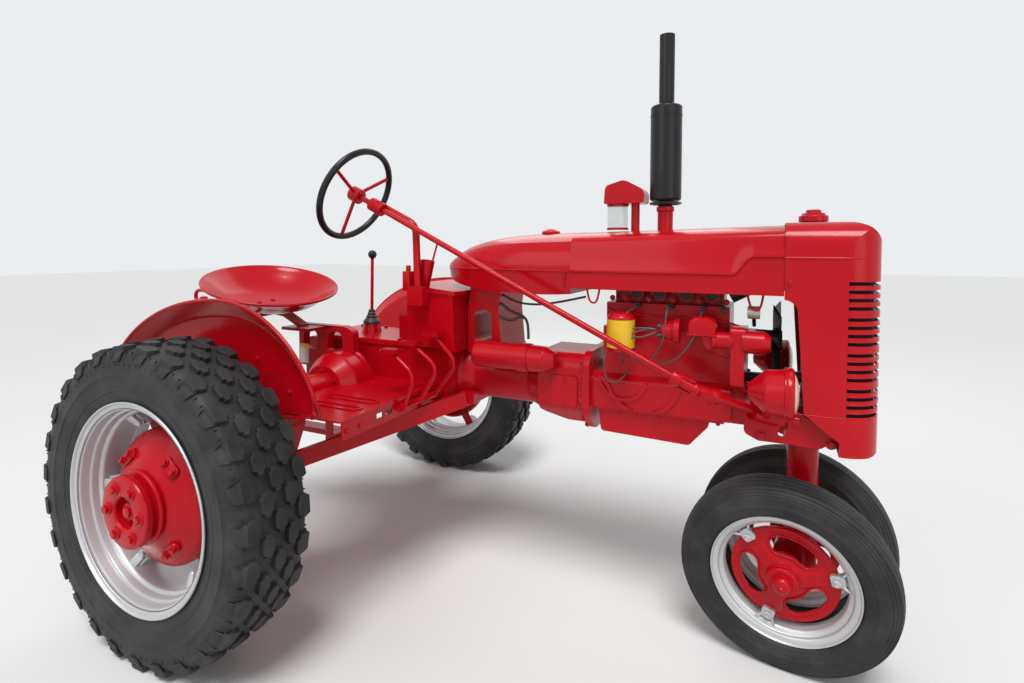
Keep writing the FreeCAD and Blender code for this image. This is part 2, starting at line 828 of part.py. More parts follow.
# Radiator shell with its side openings, louvres and filler cap
def radiator_shell():
    shell = shell_form(0).cut(shell_form(sheet))
    back = hood_front_x - 2 * shell_lap
    below = shell_bottom - shell_lap
    chin_x = shell_front_x - chin_length
    reach = shell_half_width + root
    shell = shell.cut(block(back, hood_front_x, -reach, reach, below, shell_top + root))
    window = side_plate([
        (back, below), (chin_x, below), (chin_x, shell_bottom + 40), (shell_back_x + 22, chin_seam, 4),
        (shell_back_x, shell_side_top, 40), (back, shell_side_top)], -reach, reach)
    slots = []
    for group in range(louvre_groups):
        for index in range(louvre_slots):
            low = chin_seam + 4 + group * louvre_group_pitch + index * louvre_pitch
            slot = block(shell_front_x - louvre_length, shell_front_x + 40, louvre_rib_half, reach,
                         low, low + louvre_height)
            slots += [slot, mirrored(slot)]
    shell = shell.cut(window).cut(Part.makeCompound(slots))
    cap_x = shell_back_x + 47
    neck = rod(Vector(cap_x, 0, shell_top - sheet), Vector(cap_x, 0, shell_top + 8), radiator_cap_radius - 8)
    cap = turned([(0, 0), (radiator_cap_radius, 0, 3), (radiator_cap_radius, 20, 6), (0, 26)],
                 Vector(cap_x, 0, shell_top + 6), along_z)
    return shell.fuse(fused([neck, cap])).removeSplitter()


def hood_section(wall, bottom):
    half = hood_half_width - wall
    shoulder = hood_top - hood_shoulder_drop - wall
    right = [(half, bottom), (half + hood_crease_lip, hood_crease, 3), (half - 4, hood_crease + 12, 6),
             (hood_shoulder_half, shoulder, 40)]
    left = [(-point[0], point[1], *point[2:]) for point in reversed(right)]
    return right + [(0, hood_top - wall, 400)] + left


def hood():
    outer = long_bar(hood_section(0, hood_bottom), hood_rear_x + seat_gap, hood_front_x - seat_gap)
    inner = long_bar(hood_section(sheet, hood_bottom - root), hood_rear_x, hood_front_x)
    low = hood_top - 10 * sheet
    holes = [rod(Vector(x, 0, low), Vector(x, 0, hood_top + root), radius)
             for x, radius in ((exhaust_x, stack_radius + 10), (intake_x, intake_radius + 1))]
    return outer.cut(inner).cut(Part.makeCompound(holes))


def fuel_tank():
    wires = []
    for back, half, bottom, crease, shoulder_half, shoulder, top in tank_sections:
        x = hood_rear_x - back
        bulge = (half + shoulder_half) / 2 + 8
        bulge_z = (crease + shoulder) / 2 + 4
        crown = shoulder_half * 0.52
        crown_z = shoulder * 0.25 + top * 0.75
        arcs = [
            (Vector(x, half, crease), Vector(x, bulge, bulge_z), Vector(x, shoulder_half, shoulder)),
            (Vector(x, shoulder_half, shoulder), Vector(x, crown, crown_z), Vector(x, 0, top)),
            (Vector(x, 0, top), Vector(x, -crown, crown_z), Vector(x, -shoulder_half, shoulder)),
            (Vector(x, -shoulder_half, shoulder), Vector(x, -bulge, bulge_z), Vector(x, -half, crease))]
        lines = [
            (Vector(x, -half, crease), Vector(x, 8 - half, bottom)),
            (Vector(x, 8 - half, bottom), Vector(x, half - 8, bottom)),
            (Vector(x, half - 8, bottom), Vector(x, half, crease))]
        edges = [Part.Arc(*arc).toShape() for arc in arcs] + [Part.LineSegment(*line).toShape() for line in lines]
        wires.append(Part.Wire(edges))
    tank = Part.makeLoft(wires, True, False)
    radius = fuel_cap_radius
    cap = turned([(0, 0), (radius - 2, 0), (radius, 16, 6), (radius / 2, 26, 6), (0, 28)],
                 Vector(hood_rear_x - fuel_cap_back, 0, tank_sections[0][-1] - 2 * root), along_z)
    return tank.fuse(cap).removeSplitter()


def radiator():
    back = shell_back_x + radiator_setback
    half = shell_half_width - 8 * sheet
    return block(back, back + radiator_depth, -half, half, bolster_top, radiator_top)


# A casting with one large window carries the tank on the torque tube
def tank_support():
    back = case_front_x + 68
    front = case_front_x + 215
    upright = side_plate([(back, 93), (front, 93), (front - 15, 260, 30), (front - 5, 350), (back + 12, 350),
                          (back, 260, 10)], -tube_radius - 10, tube_radius + 10)
    opening = side_plate([(back + 22, 130, 25), (front - 45, 130, 25), (front - 45, 260, 30), (back + 22, 260, 30)],
                         -2 * tube_radius, 2 * tube_radius)
    return upright.cut(opening).cut(nodes["torque_tube"]).cut(nodes["fuel_tank"])


# Battery box with its lid, and the rounded cover behind it
def battery_box():
    front_x = box_back_x + box_length
    low_y = box_middle_y - box_half_width
    high_y = box_middle_y + box_half_width
    box = side_plate([(box_back_x, 121), (front_x, 105), (front_x - 12, box_top), (box_back_x, box_top)],
                     low_y, high_y)
    lid = side_plate([
        (box_back_x - 15, box_top - 3), (front_x + 4, box_top - 16), (front_x + 4, box_top - 2),
        (box_back_x - 5, box_top + 22, 8)], low_y - lid_overlap, high_y + lid_overlap)
    dome = long_bar([
        (-dome_half_width, 121), (dome_half_width, 121), (dome_half_width, 240, 80), (0, 330, 60),
        (-dome_half_width, 240, 80)], box_back_x - dome_reach, box_back_x + 1)
    return fused([box, lid, dome]).cut(nodes["transmission_case"]).cut(nodes["torque_tube"])


for build in (radiator_shell, hood, fuel_tank, radiator, tank_support, battery_box):
    nodes[build.__name__] = build()


# The long shaft with the wheel's hub and spokes and the ball of its joint
def steering_shaft():
    shaft = rod(hub_point - shaft_direction * 10, joint_point, shaft_radius)
    hub = turned([(0, -22), (hub_radius, -22, 6), (hub_radius, 26, 6), (0, 26)], hub_point, shaft_direction)
    fork = rod(joint_point - shaft_direction * fork_length, joint_point, fork_radius)
    pieces = [shaft, hub, fork, Part.makeSphere(joint_radius, joint_point)]
    across = shaft_direction.cross(along_y)
    reach = steering_wheel_radius - 2 * steering_rim_thickness + 1
    for index in range(spoke_count):
        turn = math.radians((index + 0.25) * full_turn / spoke_count)
        radial = along_y * math.cos(turn) + across * math.sin(turn)
        pieces.append(rod(hub_point + radial * 10, hub_point + radial * reach, spoke_radius))
    return fused(pieces).cut(steering_rim())


def steering_rim():
    return Part.makeTorus(steering_wheel_radius - steering_rim_thickness, steering_rim_thickness,
                          hub_point, shaft_direction)


# A bent tube on the battery box carries the bearing of the shaft
def steering_post():
    bore = shaft_radius + bearing_gap
    bearing = turned([
        (bore, -clamp_half_length), (clamp_radius, -clamp_half_length, 4), (clamp_radius, clamp_half_length, 4),
        (bore, clamp_half_length)], clamp_point, shaft_direction)
    foot_x = box_back_x + 37
    foot = block(foot_x, foot_x + 70, post_y - 24, post_y + 20, box_top - 56, box_top + 16)
    stem = bent_bar([
        Vector(post_elbow_x + 7, post_y, box_top + 14), Vector(post_elbow_x, post_y, post_elbow_z),
        Vector(clamp_point.x + 4, post_y, clamp_point.z + 2)], post_bend, post_radius)
    way = rod(clamp_point - shaft_direction * 90, clamp_point + shaft_direction * 90, bore)
    return fused([foot, stem, bearing]).cut(way).cut(nodes["battery_box"])


def steering_stub():
    fork_start = joint_point + stub_direction * 5
    sleeve = rod(fork_start, worm_point - stub_direction * seat_gap, stub_radius)
    fork = rod(fork_start, joint_point + stub_direction * fork_length, fork_radius + 2)
    return fused([sleeve, fork]).cut(Part.makeSphere(joint_radius + bearing_gap, joint_point))


for build in (steering_shaft, steering_rim, steering_post, steering_stub):
    nodes[build.__name__] = build()


# Final drive: tube from the gear case, brake drum, and the case that drops to the wheel axle
def final_drive():
    inner = -drive_case_inner_y
    outer = -drive_case_outer_y
    tube = rod(Vector(pinion_x, -case_half_width, pinion_z), Vector(pinion_x, inner - root, pinion_z),
               axle_tube_radius)
    drum = turned([
        (0, -drum_outer_y), (drum_radius - 38, -drum_outer_y, 8), (drum_radius, -drum_outer_y + 55, 24),
        (drum_radius, -drum_inner_y), (0, -drum_inner_y)], Vector(pinion_x, 0, pinion_z), along_y)
    band = turned([
        (drum_radius - root, -drum_inner_y - 22), (drum_radius + 6, -drum_inner_y - 22),
        (drum_radius + 6, -drum_inner_y), (drum_radius - root, -drum_inner_y)],
        Vector(pinion_x, 0, pinion_z), along_y)
    case = side_plate([
        (-118, rear_axle_z - 120, 110), (pinion_x, rear_axle_z - 100, 110), (pinion_x + 112, pinion_z - 60, 80),
        (pinion_x + 90, pinion_z + 110, 90), (pinion_x - 90, pinion_z + 110, 90), (-118, rear_axle_z + 100, 100)],
        outer, inner)
    boss = turned([(0, outer - axle_boss_length), (axle_boss_radius - 8, outer - axle_boss_length, 6),
                   (axle_boss_radius, outer + root), (0, outer + root)], Vector(0, 0, rear_axle_z), along_y)
    axle_end = -rear_tread / 2 - rear_hub_reach + rear_hub_flange
    axle = rod(Vector(0, outer, rear_axle_z), Vector(0, axle_end, rear_axle_z), wheel_axle_radius)
    return fused([tube, drum, band, case, boss, axle])


# Fender: a shallow pan beside the tyre with a rolled edge, cut off below
def fender():
    plate = -fender_plate_y
    lip = -fender_lip_y
    axle = Vector(0, 0, rear_axle_z)
    pan = turned([
        (0, plate), (0, plate - fender_wall), (fender_plate_radius, plate - fender_wall, fender_fillet),
        (fender_radius, lip), (fender_radius, lip + fender_wall + 1), (fender_plate_radius + 3, plate, fender_fillet)],
        axle, along_y)
    bead = Part.makeTorus(fender_radius - 1, fender_bead_radius, axle + along_y * (lip + 2), along_y)
    reach = fender_radius + 100
    keep = side_plate([(-reach, -100), (-400, -100), (120, -65), (640, -45), (640, 500), (-reach, 500)],
                      lip - 4 * root, plate + 4 * root)
    bracket = block(pinion_x - 90, pinion_x + 20, plate, -drive_case_outer_y - seat_gap, pinion_z + 14, pinion_z + 64)
    return fused([pan.fuse(bead).common(keep), bracket])


right_drive = final_drive()
right_fender = fender()
nodes["final_drives"] = Part.makeCompound([right_drive, mirrored(right_drive)])
nodes["fenders"] = Part.makeCompound([right_fender, mirrored(right_fender)])


# A long pressed loop: a rounded ring of the floor's sheet
def pressed_loop(x_low, x_high, middle_y, width):
    length = x_high - x_low
    middle_x = (x_low + x_high) / 2
    ring = Part.Face(outline(rounded(middle_x, middle_y, length, width, width / 2 - 1)))
    inner_width = width - 2 * loop_width
    hole = Part.Face(outline(rounded(middle_x, middle_y, length - 2 * loop_width, inner_width, inner_width / 2 - 1)))
    loop = ring.cut(hole).extrude(along_z * (loop_height + platform_wall / 2))
    loop.translate(along_z * (platform_z - platform_wall / 2))
    return loop


# Platform with its pressed loops and the slotted apron across its front
def platform():
    outer_y = seat_gap - fender_plate_y
    inner_y = -platform_inner_y
    floor = flat_plate([(platform_back_x, outer_y), (platform_front_x, outer_y, 10), (platform_front_x, inner_y, 4),
                        (platform_back_x, inner_y)], platform_z - platform_wall, platform_z)
    apron = block(platform_front_x - platform_wall, platform_front_x, outer_y + 8, inner_y - 2,
                  platform_z - apron_depth, platform_z - 1)
    slots = []
    for middle_y in (-500, -450, -300, -250):
        slots.append(block(platform_front_x - 2 * platform_wall, platform_front_x + platform_wall,
                           middle_y - apron_slot_length / 2, middle_y + apron_slot_length / 2,
                           platform_z - 40, platform_z - 40 + apron_slot_height))
    loops = [pressed_loop(platform_front_x - 250, platform_front_x - 30, middle_y, 46) for middle_y in (-560, -470)]
    return fused([floor, apron.cut(Part.makeCompound(slots))] + loops).cut(right_drive).cut(nodes["transmission_case"])


# A flat bar from the foot of each final drive forwards to the torque tube's lug
def axle_brace():
    outer = Vector(pinion_x + 108, -drive_case_inner_y - 67, pinion_z - 182)
    inner = Vector(case_front_x + 68, -tube_radius - 28, -88)
    along = inner - outer
    flat = along.cross(along_z).normalize() * brace_half_width
    up = flat.cross(along).normalize() * brace_half_height
    corners = [outer + flat + up, outer - flat + up, outer - flat - up, outer + flat - up]
    bar = Part.Face(Part.makePolygon(corners + [corners[0]])).extrude(along)
    return bar.cut(right_drive).cut(nodes["torque_tube"])


nodes["platform"] = platform()
right_brace = axle_brace()
nodes["axle_braces"] = Part.makeCompound([right_brace, mirrored(right_brace)])


# Three pedals on one cross shaft under the platform's front edge
def pedals():
    pivot_x = platform_front_x + pivot_reach
    pivot_z = platform_z - pivot_drop + 35
    pieces = [rod(Vector(pivot_x, -400, pivot_z), Vector(pivot_x, -platform_inner_y - 4, pivot_z), pivot_radius)]
    for pad_x, pad_y, pad_z, knee_x, knee_y, knee_z, pivot_y in pedal_table:
        pad_point = Vector(pad_x, pad_y, pad_z)
        pieces.append(bent_bar([Vector(pivot_x, pivot_y, pivot_z), Vector(knee_x, knee_y, knee_z), pad_point],
                               pedal_bend, pedal_radius))
        pieces.append(block(pad_x - pad_length / 2, pad_x + pad_length / 2, pad_y - pad_width / 2,
                            pad_y + pad_width / 2, pad_z - pad_thickness / 2, pad_z + pad_thickness / 2))
    for y in (-396, -340, -235, -160):
        pieces.append(block(platform_front_x, pivot_x, y, y + 10, pivot_z - 14, pivot_z + 14))
    return fused(pieces).cut(nodes["platform"])


# Seat support: a casting with two windows, a shelf and the leaf under the seat
def seat_support():
    low_y = support_y - support_wall / 2
    high_y = support_y + support_wall / 2
    plate = side_plate([(-95, 0), (200, -10), (200, 160, 30), (150, 175, 20), (-95, 175)], low_y, high_y)
    windows = [side_plate([(-70, 70, 20), (10, 70, 20), (10, 150, 30), (-70, 150, 30)], low_y - root, high_y + root),
               side_plate([(60, 70, 10), (150, 70, 10), (140, 150, 30), (70, 150, 30)], low_y - root, high_y + root)]
    shelf = block(-90, 60, seat_y - 45, support_y, 160, 172)
    leaf = side_plate([(-20, 166), (-20, 178), (-110, 222, 30), (seat_x - 45, seat_bottom + 4),
                       (seat_x - 45, seat_bottom - 8), (-114, 210, 30)], seat_y - 15, seat_y + 35)
    foot = block(20, 195, support_y, -case_half_width - lid_lip - seat_gap, 4, 60)
    return fused([plate.cut(Part.makeCompound(windows)), shelf, leaf, foot]).cut(right_drive)


# Seat pan: a turned bowl with a rolled edge, tilted back
def seat_pan():
    radius = seat_radius
    depth = seat_depth
    wall = seat_wall
    bowl = turned([
        (0, 0), (radius / 3, 0, 60), (radius - 52, depth - 75, 90), (radius - 12, depth), (radius, depth + 6),
        (radius, depth + 10), (radius - 14, depth + 8, 3), (radius - 52 - 4, depth - 69, 90), (radius / 3, wall, 60),
        (0, wall)], origin, along_z)
    bowl.rotate(origin, along_y, seat_tilt_deg)
    bowl.translate(Vector(seat_x, seat_y, seat_bottom))
    return bowl.cut(nodes["seat_support"])


def gearshift():
    foot_z = case_top + lid_height - root + 46
    lever = rod(Vector(lever_x, 0, foot_z + root), Vector(lever_x + root, 0, lever_top), lever_radius)
    boot = turned([(0, 0), (30, 0), (14, 50, 8), (0, 50)], Vector(lever_x, 0, foot_z), along_z)
    knob = Part.makeSphere(lever_knob_radius, Vector(lever_x + root, 0, lever_top + root))
    return fused([lever, boot, knob])


def headlamp():
    centre = Vector(bolster_back_x + lamp_setback, lamp_y, lamp_z)
    radius = lamp_radius
    bowl = turned([
        (0, -lamp_depth), (20, 2 - lamp_depth, 6), (radius - 9, -10, 30), (radius - 3, 38, 6), (radius, 42),
        (radius, 56, 3), (radius - 11, 62, 8), (0, 72)], centre, along_x)
    arm_top = centre - Vector(7, 0, 54)
    arm = rod(arm_top, Vector(arm_top.x, -bolster_half_width, bolster_side_top - 36), 11)
    stem = rod(arm_top, arm_top + along_z * 2 * root, 16)
    return fused([bowl, arm, stem])


for build in (pedals, seat_support, seat_pan, gearshift):
    nodes[build.__name__] = build()
lamp = headlamp()
nodes["headlamps"] = Part.makeCompound([shape.cut(nodes["front_bolster"]) for shape in (lamp, mirrored(lamp))])


# What hangs on the right side of the engine
def oil_filter():
    x = clutch_front_x + 115
    y = -block_half_width - 76
    radius = oil_filter_radius
    height = oil_filter_height
    canister = turned([(0, 0), (radius, 0, 6), (radius, height - 16, 20), (radius - 15, height - 2, 14), (0, height)],
                      Vector(x, y, 162), along_z)
    bracket = block(x - 28, x + 28, y + 28, -block_half_width, 175, 220)
    return fused([canister, bracket])


def distributor():
    x = block_front_x - 102
    y = -block_half_width - 66
    radius = distributor_radius
    height = distributor_height
    body = turned([(0, 0), (radius - 12, 0), (radius - 12, 40), (radius, 48, 4), (radius, height - 8, 16), (0, height)],
                  Vector(x, y, 185), along_z)
    bracket = block(x - 20, x + 20, y + 18, -block_half_width, 140, 190)
    return fused([body, bracket]).cut(nodes["timing_case"])


# Starter on the right over the torque tube, generator on the left of the block
def electrics():
    radius = starter_radius
    back_x = tube_front_x - starter_length
    strap_x = tube_front_x - 20
    starter = turned([
        (0, back_x), (radius - 4, back_x, 4), (radius, back_x + 8), (radius, strap_x - 40), (radius + 4, strap_x - 40),
        (radius + 4, strap_x), (radius, strap_x), (radius - 2, tube_front_x + 40, 12), (radius - 22, tube_front_x + 78, 8),
        (0, tube_front_x + 78)], Vector(0, starter_y, 105), along_x)
    seat = block(tube_front_x - 80, tube_front_x - 2, starter_y, -tube_radius + root, 60, 100)
    carriers = [nodes["torque_tube"], nodes["clutch_housing"]]
    starter = fused([starter, seat])
    for carrier in carriers:
        starter = starter.cut(carrier)
    middle_y = block_half_width + 88
    front_x = block_front_x - 28
    generator = turned([
        (0, -generator_length), (generator_radius - 4, -generator_length, 6), (generator_radius, -generator_length + 12),
        (generator_radius, -12), (generator_radius - 4, 0, 6), (0, 0)], Vector(front_x, middle_y, 210), along_x)
    bracket = block(front_x - 140, front_x - 80, block_half_width, middle_y, 185, 210)
    return Part.makeCompound([starter, fused([generator, bracket])])


def fan():
    middle_z = head_top - fan_drop - 52
    hub_start = Vector(timing_front_x + 26, 0, middle_z)
    blade_x = timing_front_x + 84
    hub = rod(hub_start, Vector(blade_x + 20, 0, middle_z), 34)
    pieces = [hub]
    for index in range(fan_blades):
        blade = block(blade_x, blade_x + 8, -34, 34, middle_z + 20, middle_z + fan_radius)
        blade.rotate(Vector(blade_x + 4, 0, middle_z), along_z, 24)
        blade = blade.common(rod(Vector(blade_x - 8, 0, middle_z), Vector(blade_x + 16, 0, middle_z), fan_radius))
        blade.rotate(Vector(blade_x, 0, middle_z), along_x, (index + 0.5) * full_turn / fan_blades)
        pieces.append(blade)
    bracket = block(timing_front_x, timing_front_x + 26 + root, -40, 40, middle_z - 40, middle_z + 30)
    return fused(pieces + [bracket])


# Manifold with the carburettor, and the stack that rises through the hood to its collar
def manifold():
    low = block_top - 70
    body = long_bar([(block_half_width, low), (175, low, 25), (175, block_top, 25), (block_half_width, block_top)],
                    clutch_front_x + 45, block_front_x - 48)
    carburettor_x = clutch_front_x + 155
    carburettor = turned([(0, 0), (42, 0), (48, 40, 8), (40, 110, 10), (0, 110)],
                         Vector(carburettor_x, 205, block_top - 180), along_z)
    throat = block(carburettor_x - 30, carburettor_x + 30, 150, 205, block_top - 95, block_top - 55)
    stack = bent_bar([
        Vector(exhaust_x, stack_side, block_top - 20), Vector(exhaust_x, stack_side, hood_top - 86),
        Vector(exhaust_x, 0, hood_top - 86), Vector(exhaust_x, 0, hood_top)], 40, stack_radius)
    collar = turned([(0, 0), (30, 0), (30, 12), (26, 16), (26, collar_height - 4), (30, collar_height), (30, 100),
                     (0, 100)], Vector(exhaust_x, 0, hood_top + collar_height - 100), along_z)
    return fused([body, carburettor, throat, stack, collar]).cut(nodes["electrics"])


# Intake pipe under the pre-cleaner's hooded head, and its dust jar
def precleaner():
    pipe = bent_bar([
        Vector(intake_x, stack_side, block_top + seat_gap), Vector(intake_x, stack_side, hood_top - 86),
        Vector(intake_x, 0, hood_top - 86), Vector(intake_x, 0, jar_top + 10)], 40, intake_radius)
    back = intake_x - 104
    front = intake_x + 38
    head = side_plate([(back, jar_top, 4), (front, jar_top, 10), (front + 2, jar_top + 44, 30),
                       (back + 72, jar_top + 84, 40), (back + 4, jar_top + 64, 20)], -44, 44)
    return fused([pipe, head])


def precleaner_jar():
    height = jar_height - seat_gap
    return turned([(0, 0), (jar_radius, 0, 4), (jar_radius, height), (0, height)],
                  Vector(intake_x - jar_offset, 0, jar_bottom), along_z)


def muffler():
    radius = muffler_radius
    length = muffler_length
    total = length + tail_pipe_length
    return turned([
        (0, 0), (24, 0), (30, 14), (radius, 24, 8), (radius, length - 13, 8), (26, length), (26, total), (22, total),
        (22, length), (0, length - 10)], Vector(exhaust_x, 0, hood_top + collar_height + seat_gap), along_z)


# Drawbar under the gear case, on two hangers
def drawbar():
    top = drawbar_bottom + drawbar_thickness
    half = drawbar_half_width
    front_x = hanger_x + hanger_length
    bar = flat_plate([(-drawbar_back, -half, 25), (front_x, -half), (front_x, half), (-drawbar_back, half, 25)],
                     drawbar_bottom, top)
    hole_x = drawbar_hole_inset - drawbar_back
    hole = rod(Vector(hole_x, 0, drawbar_bottom - root), Vector(hole_x, 0, top + root), drawbar_hole_radius)
    outer_y = hanger_inner_y + hanger_wall
    right_hanger = block(hanger_x, front_x, -outer_y, -hanger_inner_y, drawbar_bottom, case_bottom + 40)
    cross = block(hanger_x, front_x, -outer_y, outer_y, drawbar_bottom - 20, top)
    return fused([bar.cut(hole), cross, right_hanger, mirrored(right_hanger)]).cut(nodes["transmission_case"])


for build in (oil_filter, distributor, electrics, fan, manifold, precleaner, precleaner_jar, muffler, drawbar):
    nodes[build.__name__] = build()

# The machine stands on the ground with the middle of its length over the origin
ends = [nodes[name].optimalBoundingBox() for name in ("front_tyre_right", "front_tyre_left", "drawbar", "rear_tyre_left")]
middle_x = (max(end.XMax for end in ends) + min(end.XMin for end in ends)) / 2
shift = Vector(-middle_x, 0, -ground_z)


# Points and directions where pieces turn or are joined to other machines
def report(name, point):
    print("point", name, point.x, point.y, point.z)


def steered_point(point):
    turn = FreeCAD.Rotation(along_z, rest_steer_deg)
    pivot = Vector(kingpin_x, 0, 0)
    return pivot + turn.multVec(point - pivot)


report("kingpin", Vector(kingpin_x, 0, bolster_bottom) + shift)
report("hub", hub_point + shift)
report("shaft_direction", shaft_direction)
report("joint", joint_point + shift)
report("stub_direction", stub_direction)
report("drawbar_hole", Vector(drawbar_hole_inset - drawbar_back, 0, drawbar_bottom + drawbar_thickness / 2) + shift)
report("power_shaft", Vector(case_back_x - (power_shaft_length + collar_length) / 2, 0, -power_shaft_drop) + shift)
report("seat", Vector(seat_x, seat_y, seat_bottom) + shift)
report("hood_front", Vector(hood_front_x, hood_half_width, head_top) + shift)
report("shell_front", Vector(shell_front_x, shell_half_width, chin_seam) + shift)
for side_name, side in sides:
    spindle = FreeCAD.Rotation(along_x, -side * camber_deg).multVec(along_y)
    centre = Vector(wheelbase, side * front_hub_offset, front_hub_z)
    report("front_" + side_name, steered_point(centre) + shift)
    report("front_axis_" + side_name, steered_point(centre + spindle) - steered_point(centre))
    report("rear_" + side_name, Vector(0, side * rear_tread / 2, rear_axle_z) + shift)

for name, shape in nodes.items():
    shape.translate(shift)
    print(name, len(shape.Solids), shape.isValid(), round(shape.Volume / 1e6, 3))
    shape.exportStep("parts/" + name + ".step")
print(len(nodes), "nodes")
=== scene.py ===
import bpy
import json
import math
import random
from mathutils import Matrix, Vector


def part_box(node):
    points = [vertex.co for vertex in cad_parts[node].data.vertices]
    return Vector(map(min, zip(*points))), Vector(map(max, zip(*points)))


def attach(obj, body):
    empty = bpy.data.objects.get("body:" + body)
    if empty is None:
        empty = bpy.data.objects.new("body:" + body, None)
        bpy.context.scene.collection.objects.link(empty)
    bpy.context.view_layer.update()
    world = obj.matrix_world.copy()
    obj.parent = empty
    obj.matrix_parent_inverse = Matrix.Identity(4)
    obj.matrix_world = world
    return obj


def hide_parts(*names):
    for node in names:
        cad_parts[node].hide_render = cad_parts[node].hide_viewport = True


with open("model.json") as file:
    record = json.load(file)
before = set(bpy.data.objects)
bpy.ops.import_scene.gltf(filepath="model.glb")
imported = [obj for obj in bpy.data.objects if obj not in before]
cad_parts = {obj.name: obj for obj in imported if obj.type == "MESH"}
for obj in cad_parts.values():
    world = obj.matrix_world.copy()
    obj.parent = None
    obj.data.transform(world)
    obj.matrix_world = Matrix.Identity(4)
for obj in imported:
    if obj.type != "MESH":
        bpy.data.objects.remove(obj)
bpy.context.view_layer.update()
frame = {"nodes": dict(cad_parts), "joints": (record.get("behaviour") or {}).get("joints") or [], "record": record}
nodes = frame["nodes"]
joints = {joint["name"]: joint for joint in frame["joints"]}
random.seed(21)

mm = 0.001  # lengths are written in millimetres, and the tools below make metres of them
fullTurn = 2 * math.pi
alongX = Vector((1, 0, 0))
alongY = Vector((0, 1, 0))
alongZ = Vector((0, 0, 1))
mirrorY = Matrix.Scale(-1, 4, alongY)


# small tools for modelling
def letGo():
    if bpy.context.object is not None and bpy.context.object.mode != "OBJECT":
        bpy.ops.object.mode_set(mode="OBJECT")
    bpy.ops.object.select_all(action="DESELECT")


def pick(piece):
    letGo()
    piece.select_set(True)
    bpy.context.view_layer.objects.active = piece


def named(name):  # the piece that was just added
    piece = bpy.context.object
    piece.name = name
    return piece


def editAll(piece):
    pick(piece)
    bpy.ops.object.mode_set(mode="EDIT")
    bpy.ops.mesh.select_all(action="SELECT")


def editDone():
    bpy.ops.mesh.select_all(action="SELECT")
    bpy.ops.mesh.normals_make_consistent(inside=False)
    bpy.ops.object.mode_set(mode="OBJECT")


def settled(piece):
    pick(piece)
    bpy.ops.object.transform_apply(location=True, rotation=True, scale=True)
    return piece


def smoothed(piece, degrees=35):
    pick(piece)
    bpy.ops.object.shade_smooth_by_angle(angle=math.radians(degrees))
    return piece


def applied(piece, kind, **settings):  # one modifier, set and applied
    pick(piece)
    modifier = piece.modifiers.new(kind.lower(), kind)
    for key, value in settings.items():
        setattr(modifier, key, value)
    bpy.ops.object.modifier_apply(modifier=modifier.name)
    return piece


def edged(piece, width, degrees=40):
    applied(piece, "BEVEL", width=width * mm, segments=2, limit_method="ANGLE", angle_limit=math.radians(degrees))
    return smoothed(piece, degrees)


def ringOf(name, points, filled=False):  # a closed ring of points, as the start of a piece
    letGo()
    bpy.ops.mesh.primitive_circle_add(vertices=len(points), radius=0.1, fill_type="NGON" if filled else "NOTHING")
    piece = named(name)
    for vertex, point in zip(piece.data.vertices, points):
        vertex.co = Vector(point) * mm
    return piece


def gridOf(name, columns, rows, spot):  # a sheet whose points come from a column and a row
    letGo()
    bpy.ops.mesh.primitive_grid_add(x_subdivisions=columns - 1, y_subdivisions=rows - 1, size=1)
    piece = named(name)
    for index, vertex in enumerate(piece.data.vertices):
        vertex.co = Vector(spot(index % columns, index // columns)) * mm
    return piece


def spun(name, profile, centre=(0, 0, 0), axis=alongY, steps=64, smooth=32, sweep=fullTurn, start=None):
    centre = Vector(centre)
    axis = Vector(axis).normalized()
    out = (start or axis.orthogonal()).normalized()
    piece = ringOf(name, [centre + out * radius + axis * along for radius, along in profile])
    editAll(piece)
    bpy.ops.mesh.spin(steps=steps, angle=sweep, center=centre * mm, axis=axis)
    bpy.ops.mesh.select_all(action="SELECT")
    bpy.ops.mesh.remove_doubles(threshold=0.02 * mm)
    bpy.ops.mesh.delete_loose(use_verts=True, use_edges=True, use_faces=False)
    if sweep < fullTurn:  # close both ends of a part turn
        bpy.ops.mesh.select_all(action="DESELECT")
        bpy.ops.mesh.select_non_manifold()
        bpy.ops.mesh.edge_face_add()
    editDone()
    return smoothed(piece, smooth)


def plate(name, points, depth, edge=0):
    piece = ringOf(name, points, True)
    editAll(piece)
    bpy.ops.mesh.extrude_region_move(TRANSFORM_OT_translate={"value": Vector(depth) * mm})
    editDone()
    return edged(piece, edge) if edge else smoothed(piece)


def slab(name, low, high, edge=0):
    letGo()
    low, high = Vector(low) * mm, Vector(high) * mm
    bpy.ops.mesh.primitive_cube_add(size=1, location=(low + high) / 2)
    piece = named(name)
    piece.scale = high - low
    settled(piece)
    return edged(piece, edge) if edge else piece


def stub(name, start, end, radius, sides=24, edge=0, tip=None):
    letGo()
    start, end = Vector(start) * mm, Vector(end) * mm
    bpy.ops.mesh.primitive_cone_add(
        vertices=sides, radius1=radius * mm, radius2=(radius if tip is None else tip) * mm, depth=(end - start).length,
        location=(start + end) / 2, rotation=(end - start).to_track_quat("Z", "Y").to_euler())
    piece = settled(named(name))
    return edged(piece, edge) if edge else smoothed(piece)


def pipe(name, points, radius, bend=4, closed=False):  # a round bar on a smooth path
    letGo()
    bpy.ops.curve.primitive_nurbs_path_add()
    curve = named(name).data
    curve.splines.clear()
    spline = curve.splines.new("NURBS")
    spline.points.add(len(points) - 1)
    for spot, point in zip(spline.points, points):
        spot.co = (*(Vector(point) * mm), 1)
    spline.use_cyclic_u = closed
    spline.order_u = 3
    spline.use_endpoint_u = not closed
    curve.resolution_u = 8
    curve.bevel_depth = radius * mm
    curve.bevel_resolution = bend
    curve.use_fill_caps = not closed
    bpy.ops.object.convert(target="MESH")
    piece = bpy.context.object
    editAll(piece)
    bpy.ops.mesh.remove_doubles(threshold=0.01 * mm)
    editDone()
    return smoothed(piece, 50)


